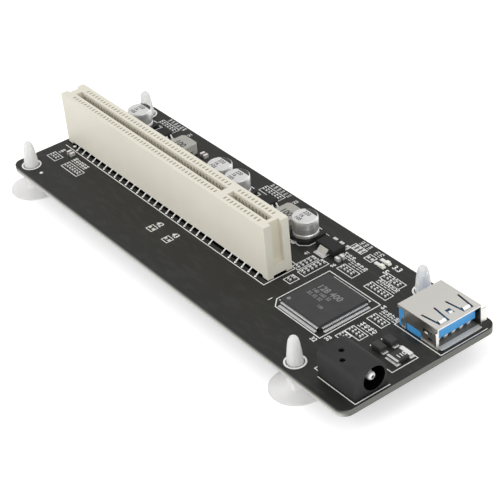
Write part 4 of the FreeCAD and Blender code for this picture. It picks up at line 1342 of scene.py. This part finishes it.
@dataclass
class CableSocket:
    """The cable socket: finger ends, latch tab, side springs, tongue lip, mouth plates and contact bows."""

    shop: Workshop
    wall: float = 0.35
    smooth: float = 60.0
    hollow_rear: float = 1.0
    hollow_floor: float = 0.4
    hollow_side: float = 0.06
    hollow_margin: float = 0.05
    finger_offset: float = 3.4
    finger_end: float = 11.2
    finger_width: float = 1.9
    bend_start: float = 1.25
    bend_length: float = 1.2
    bend_inset: float = 0.1
    bend_lift: float = 0.005
    bend_rise: float = 0.2
    bend_power: float = 1.5
    bend_grid: tuple[int, int] = (9, 5)
    latch: tuple[float, float, float] = (8.9, 10.2, 0.95)
    latch_drop: float = 0.25
    latch_rise: float = 0.3
    window: tuple[float, float, float, float] = (7.9, 10.8, 1.5, 3.7)
    window_gap: float = 0.42
    plate: float = 0.05
    spring_depth: float = 0.12
    back_gap: float = 0.06
    tongue_width: float = 10.7
    tongue_lip: float = 0.6
    tongue_edge: float = 0.5
    tongue_proud: float = 0.02
    mouth_lip: float = 1.4
    mouth_depth: float = 4.0
    mouth_inset: float = 0.1
    mouth_level: float = 0.3
    mouth_plate: float = 0.06
    lanes: int = 5
    lane_pitch: float = 2.2
    bow_start: float = 3.1
    bow_end: float = 0.3
    bow_depth: float = 1.9
    bow_width: float = 0.9
    bow_drop: float = 0.28
    bow_thickness: float = 0.12
    bow_grid: tuple[int, int] = (13, 2)

    def finger_ends(self, rear: float, middle: float, roof: float) -> Arrays:
        """Raised bends at the finger ends and the latch tab, whose heights follow a half sine along them.

        Args:
            rear: where the shell starts along the board.
            middle: its centre line.
            roof: height of its top.

        Returns:
            Points and faces of the bends and of the latch tab.
        """
        along, across = shares(*self.bend_grid)
        bends = [
            sheet(
                rear + self.finger_end - self.bend_start + self.bend_length * along,
                middle + sign * self.finger_offset + across * (self.finger_width - self.bend_inset),
                roof + self.bend_lift + self.bend_rise * np.sin(math.pi * along) ** self.bend_power,
            )
            for sign in (-1, 1)
        ]
        start, end, width = self.latch
        tab = sheet(
            rear + start + (end - start) * along,
            middle + across * width,
            roof - self.latch_drop + self.latch_rise * np.sin(math.pi * along),
        )
        return gathered(bends + [tab])

    def side_plates(self, rear: float, low: float, high: float, gap: float, depth: float) -> Arrays:
        """Plates inside the windows of both sides.

        Args:
            rear: where the shell starts along the board.
            low: its near side.
            high: its far side.
            gap: from a plate's edges to the window's, and a quarter of it at the front.
            depth: from the outer side to the plate.

        Returns:
            Points and faces of the plates.
        """
        left, right, bottom, top = self.window
        x0, x1 = rear + left + gap, rear + right - gap / 4
        z0, z1 = self.shop.top + bottom + gap, self.shop.top + top - gap
        return boxes(
            [(x0, low + depth, z0), (x0, high - depth - self.plate, z0)],
            [(x1, low + depth + self.plate, z1), (x1, high - depth, z1)],
        )

    def contact_bows(self, middle: float) -> Arrays:
        """Contacts that bow down below the tongue.

        The depth is the squared sine of pi times the fourth power of the share of the length.

        Args:
            middle: the socket's centre line.

        Returns:
            Points and faces of the bows.
        """
        _, high = self.shop.box("cable_socket_contacts")
        along, across = shares(*self.bow_grid)
        start, end = high[0] - self.bow_start, high[0] + self.bow_end
        level = high[2] - self.bow_drop - self.bow_depth * np.sin(math.pi * along**4) ** 2
        bows = []
        for lane in range(self.lanes):
            y = middle + (lane - (self.lanes - 1) / 2) * self.lane_pitch
            points, faces = sheet(start + (end - start) * along, y + self.bow_width * across, level)
            bows += [(points, faces), (points - (0, 0, self.bow_thickness), faces[:, ::-1])]
        return gathered(bows)

    def mouth_plates(self, low: np.ndarray, high: np.ndarray, front: float) -> tuple[Arrays, Arrays]:
        """Floor of the mouth and the sill in front of it.

        Args:
            low: lowest corner of the insulator.
            high: its highest corner.
            front: where the shell ends.

        Returns:
            Points and faces of the floor, and those of the sill.
        """
        split, level = front - self.mouth_lip, self.shop.top + self.mouth_level
        near, far = low[1] + self.mouth_inset, high[1] - self.mouth_inset
        spans = ((high[0] - self.mouth_depth, split), (split, front - self.mouth_inset))
        return tuple(
            boxes([(start, near, level)], [(end, far, level + self.mouth_plate)]) for start, end in spans
        )

    def dress(self, low: np.ndarray, high: np.ndarray, front: float) -> None:
        """Gives the socket's solids their finishes, with painted shade inside the shell.

        Args:
            low: lowest corner of the insulator.
            high: its highest corner.
            front: where the shell ends.
        """
        # Painted shade on the shell's inner faces, between the insulator's sides and below its top
        side, margin = self.hollow_side, self.hollow_margin
        start = metres((low[0] + self.hollow_rear, low[1] - side, self.shop.top + self.hollow_floor))
        end = metres((front - margin, high[1] + side, high[2] + margin))
        self.shop.dress(replace(STEEL, painted_shade_low=start, painted_shade_high=end), "cable_socket_shell")
        self.shop.dress(BLUE, "cable_socket_insulator")
        self.shop.dress(TIN, "cable_socket_contacts")

    def build(self) -> None:
        """Dresses the socket and adds the bent parts, the tongue's lip and the mouth's plates."""
        front, _, roof = self.shop.box("cable_socket_shell")[1]
        low, high = self.shop.box("cable_socket_insulator")
        tongue_top = self.shop.box("cable_socket_contacts")[1][2]
        self.dress(low, high, front)
        middle, half = (low[1] + high[1]) / 2, self.tongue_width / 2
        ends = self.finger_ends(low[0], middle, roof)
        self.shop.piece("cable_socket_finger_ends", ends, SOLDER, Slot.STEEL, self.smooth)
        sides = (low[0], low[1] - self.wall, high[1] + self.wall)
        springs = self.side_plates(*sides, self.window_gap, self.spring_depth)
        self.shop.piece("cable_socket_side_springs", springs, STEEL, Slot.STEEL)
        # Painted shade: black sheets behind the side windows
        backs = self.side_plates(*sides, 0.0, self.wall - self.back_gap)
        self.shop.piece("cable_socket_window_shade", backs, SHADE, Slot.STEEL)
        edge = (high[0] - self.tongue_edge, middle - half, tongue_top - self.tongue_lip)
        lip = boxes([edge], [(high[0], middle + half, tongue_top + self.tongue_proud)])
        self.shop.piece("cable_socket_tongue_lip", lip, BLUE, Slot.BLUE)
        # The mouth's floor is a sheet of painted shade; the sill in front is pale
        floor, sill = self.mouth_plates(low, high, front)
        self.shop.piece("cable_socket_mouth_floor", floor, MOUTH, Slot.STEEL)
        self.shop.piece("cable_socket_mouth_sill", sill, SILL, Slot.STEEL)
        bows = self.contact_bows(middle)
        self.shop.piece("cable_socket_contact_bows", bows, BOW, Slot.CONTACT, self.smooth)


@dataclass
class PowerJack:
    """The power jack: painted shade in its mouth and vents, and a rounded hollow pin end."""

    shop: Workshop
    vents: Path = ((3.5, -0.6), (6.1, -2.5))
    vent_radius: float = 0.64
    vent_depth: float = 0.3
    vent_segments: int = 16
    bore_depth: float = 9.4
    bore_radius: float = 2.87
    bore_margin: float = 0.1
    pin_radius: float = 0.98
    pin_bore: float = 0.42
    pin_reach: float = 0.8
    nose_length: float = 0.7
    nose_rings: int = 7
    cup_depth: float = 0.1
    cup_taper: float = 0.02
    cup_margin: float = 0.01
    segments: int = 24
    smooth: float = 60.0

    def nose(self) -> np.ndarray:
        """Outline of the pin's end: straight, then part of an ellipse in to the bore, then the bore's cup.

        Returns:
            Radius and distance along the pin of each ring.
        """
        turn = np.linspace(0, math.acos(self.pin_bore / self.pin_radius), self.nose_rings)
        length = self.pin_reach + self.nose_length * np.sin(turn)
        dome = np.column_stack([self.pin_radius * np.cos(turn), length])
        cup = self.pin_reach + self.cup_depth
        bore = [(self.pin_bore - self.cup_taper, cup), (0.0, cup)]
        return np.concatenate([[(self.pin_radius, 0.0)], dome, bore])

    def build(self) -> None:
        """Dresses the jack, with painted shade in its bore and the pin's cup, and adds the pin's end and
        black discs of painted shade in the vents.
        """
        low, high = self.shop.box("jack_housing")
        pin_low, pin_high = self.shop.box("jack_center_pin")
        axis = ((pin_low[1] + pin_high[1]) / 2, (low[2] + high[2]) / 2)
        # Painted shade inside the bore, in front of its floor
        floor = high[0] - self.bore_depth - self.bore_margin
        jack = replace(JACK, center=metres((floor, *axis)), radius=self.bore_radius * MM)
        self.shop.dress(jack, "jack_housing")
        self.shop.dress(SOLDER, "jack_center_pin")
        self.shop.dress(TIN, "jack_sleeve_spring")
        nose = turned(self.nose(), [(pin_high[0], *axis)], self.segments, Axis.ALONG)
        # Painted shade inside the pin's cup
        center = metres((pin_high[0] + self.pin_reach, *axis))
        pin = replace(PIN, center=center, radius=(self.pin_bore - self.cup_margin) * MM)
        self.shop.piece("jack_pin_nose", nose, pin, Slot.TIN, self.smooth)
        # Painted shade: a black disc a little below the top of each vent
        spots = np.asarray(self.vents) + (low[0], (low[1] + high[1]) / 2)
        places = self.shop.upon(spots, high[2] - self.vent_depth)
        discs = turned([(self.vent_radius, 0.0), (0.0, 0.0)], places, self.vent_segments)
        self.shop.piece("jack_vent_shade", discs, SHADE, Slot.JACK)


@dataclass
class Feet:
    """The push-in feet, turned with a rounded head, and the pale ring round each hole."""

    shop: Workshop
    ring_in: float = 2.1
    ring_out: float = 2.55
    ring_height: float = 0.04
    ring_segments: int = 40
    flutes: int = 12
    flute_depth: float = 0.06
    flute_start: float = 0.2
    segments: int = 48
    smooth: float = 50.0
    profile: Path = (
        (0.0, 0.0), (5.9, 0.0), (6.24, 0.14), (6.24, 0.44), (5.9, 0.6), (2.7, 0.62),
        (2.3, 0.95), (2.3, 5.36), (1.6, 5.38), (1.6, 7.12), (1.88, 7.12), (1.9, 7.3),
        (1.80, 8.4), (1.70, 9.4), (1.57, 10.6), (1.40, 11.8), (1.24, 12.6), (1.08, 13.1),
        (0.84, 13.5), (0.55, 13.75), (0.27, 13.87), (0.0, 13.89),
    )

    def fluted(self, center: np.ndarray) -> Arrays:
        """A turned foot whose head is drawn in by a cosine of the angle, once for each flute.

        Args:
            center: of the foot on the table.

        Returns:
            Points and faces of the foot.
        """
        points, faces = turned(self.profile, [center], self.segments)
        reach = points[:, :2] - center[:2]
        wave = 0.5 + 0.5 * np.cos(self.flutes * np.arctan2(reach[:, 1], reach[:, 0]))
        head = points[:, 2] > self.shop.top + self.flute_start
        points[:, :2] = center[:2] + reach * (1 - self.flute_depth * wave * head)[:, None]
        return points, faces

    def build(self) -> None:
        """Dresses the feet and adds the turned feet and the rings."""
        centers = []
        for index in FEET:
            self.shop.dress(NYLON, f"foot_{index}")
            low, high = self.shop.box(f"foot_{index}")
            center = np.array([*((low + high) / 2)[:2], 0.0])
            arrays = self.fluted(center)
            foot = self.shop.piece(f"turned_foot_{index}", arrays, NYLON, Slot.NYLON, self.smooth)
            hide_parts(f"foot_{index}")
            centers.append(center + (0.0, 0.0, self.shop.top))
        section = oblong(self.ring_in, self.ring_out, 0.0, self.ring_height)
        rings = turned([*section, section[0]], centers, self.ring_segments)
        self.shop.piece("foot_hole_rings", rings, INK, Slot.BOARD)


@dataclass
class Studio:
    """Floor, lights and camera."""

    eye: Place = (258.87, -167.897, 216.251)
    azimuth: float = 56.201
    elevation: float = 34.783
    roll: float = -5.781
    focal_pixels: float = 1587.219
    image: float = 500.0
    sensor: float = 36.0
    clip: Span = (0.01, 20.0)
    world: float = 0.74
    floor_tones: tuple[Color, Color] = ((0.86, 0.86, 0.86), (0.88, 0.88, 0.88))
    floor_cloud: float = 3.0
    floor_roughness: float = 0.9
    glow: float = 0.42
    through: float = 0.80
    reach: float = 4.0
    lamps: tuple[tuple[str, Place, float, float], ...] = (
        ("key", (-0.3, -0.85, 0.5), 0.8, 4.2),
        ("fill", (0.9, -0.1, 0.4), 0.8, 2.2),
        ("rim", (-0.1, 0.8, 0.7), 0.6, 1.8),
    )

    def camera(self) -> None:
        """Puts the camera at the photograph's place and angle."""
        a, e, r = (math.radians(angle) for angle in (self.azimuth, self.elevation, self.roll))
        back = Vector((math.sin(a) * math.cos(e), -math.cos(a) * math.cos(e), math.sin(e)))
        level = Vector((math.cos(a), math.sin(a), 0.0))
        rise = back.cross(level)
        right = level * math.cos(r) + rise * math.sin(r)
        up = rise * math.cos(r) - level * math.sin(r)
        data = bpy.data.cameras.new("camera")
        data.sensor_width = self.sensor
        data.lens = self.sensor * self.focal_pixels / self.image
        data.clip_start, data.clip_end = self.clip
        facing = Matrix((right, up, back)).transposed().to_4x4()
        item = placed("camera", data)
        item.matrix_world = Matrix.Translation(Vector(self.eye) * MM) @ facing
        bpy.context.scene.camera = item

    def floor(self) -> None:
        """Lays a pale floor that reads white to the eye and keeps the shadow."""
        desk = NodeDesk("floor")
        rays = [desk.node("LightPath", f"Is {kind} Ray") for kind in ("Camera", "Glossy", "Transmission")]
        seen = desk.math("MULTIPLY", desk.math("MAXIMUM", *rays[:2]), self.glow)
        through = desk.math("MULTIPLY", rays[2], self.through)
        pale = desk.blend(desk.noise(desk.place(), self.floor_cloud), *self.floor_tones)
        desk.set(Base_Color=pale, Roughness=self.floor_roughness, Specular_IOR_Level=0.0)
        desk.set(Emission_Color=(1.0, 1.0, 1.0), Emission_Strength=desk.math("MAXIMUM", seen, through))
        mesh = bpy.data.meshes.new("floor")
        corners = np.array([(-1, -1, 0), (1, -1, 0), (1, 1, 0), (-1, 1, 0)]) * self.reach
        mesh.from_pydata(corners.tolist(), [], [(0, 1, 2, 3)])
        mesh.materials.append(desk.material)
        placed("floor", mesh)

    def lights(self) -> None:
        """Hangs soft lamps and sets a plain white world."""
        world = bpy.data.worlds.new("studio")
        bpy.context.scene.world = world
        world.use_nodes = True
        background = world.node_tree.nodes["Background"]
        background.inputs["Color"].default_value = (1, 1, 1, 1)
        background.inputs["Strength"].default_value = self.world
        for name, place, size, power in self.lamps:
            data = bpy.data.lights.new(name, "AREA")
            data.size = size
            data.energy = power
            facing = Vector(place).to_track_quat("Z", "Y").to_matrix().to_4x4()
            placed(name, data).matrix_world = Matrix.Translation(place) @ facing

    def build(self) -> None:
        """Sets the stage."""
        bpy.context.scene.view_settings.view_transform = "Standard"
        self.floor()
        self.lights()
        self.camera()


def main() -> None:
    """Builds every sub-assembly."""
    logging.basicConfig(level=logging.INFO)
    shop = Workshop()
    for assembly in (Legend, CardSlot, BridgeChip, CanCapacitors, SmallParts, CableSocket, PowerJack, Feet):
        assembly(shop).build()
        LOG.info("built %s", assembly.__name__)
    Studio().build()


if __name__ == "__main__":
    main()
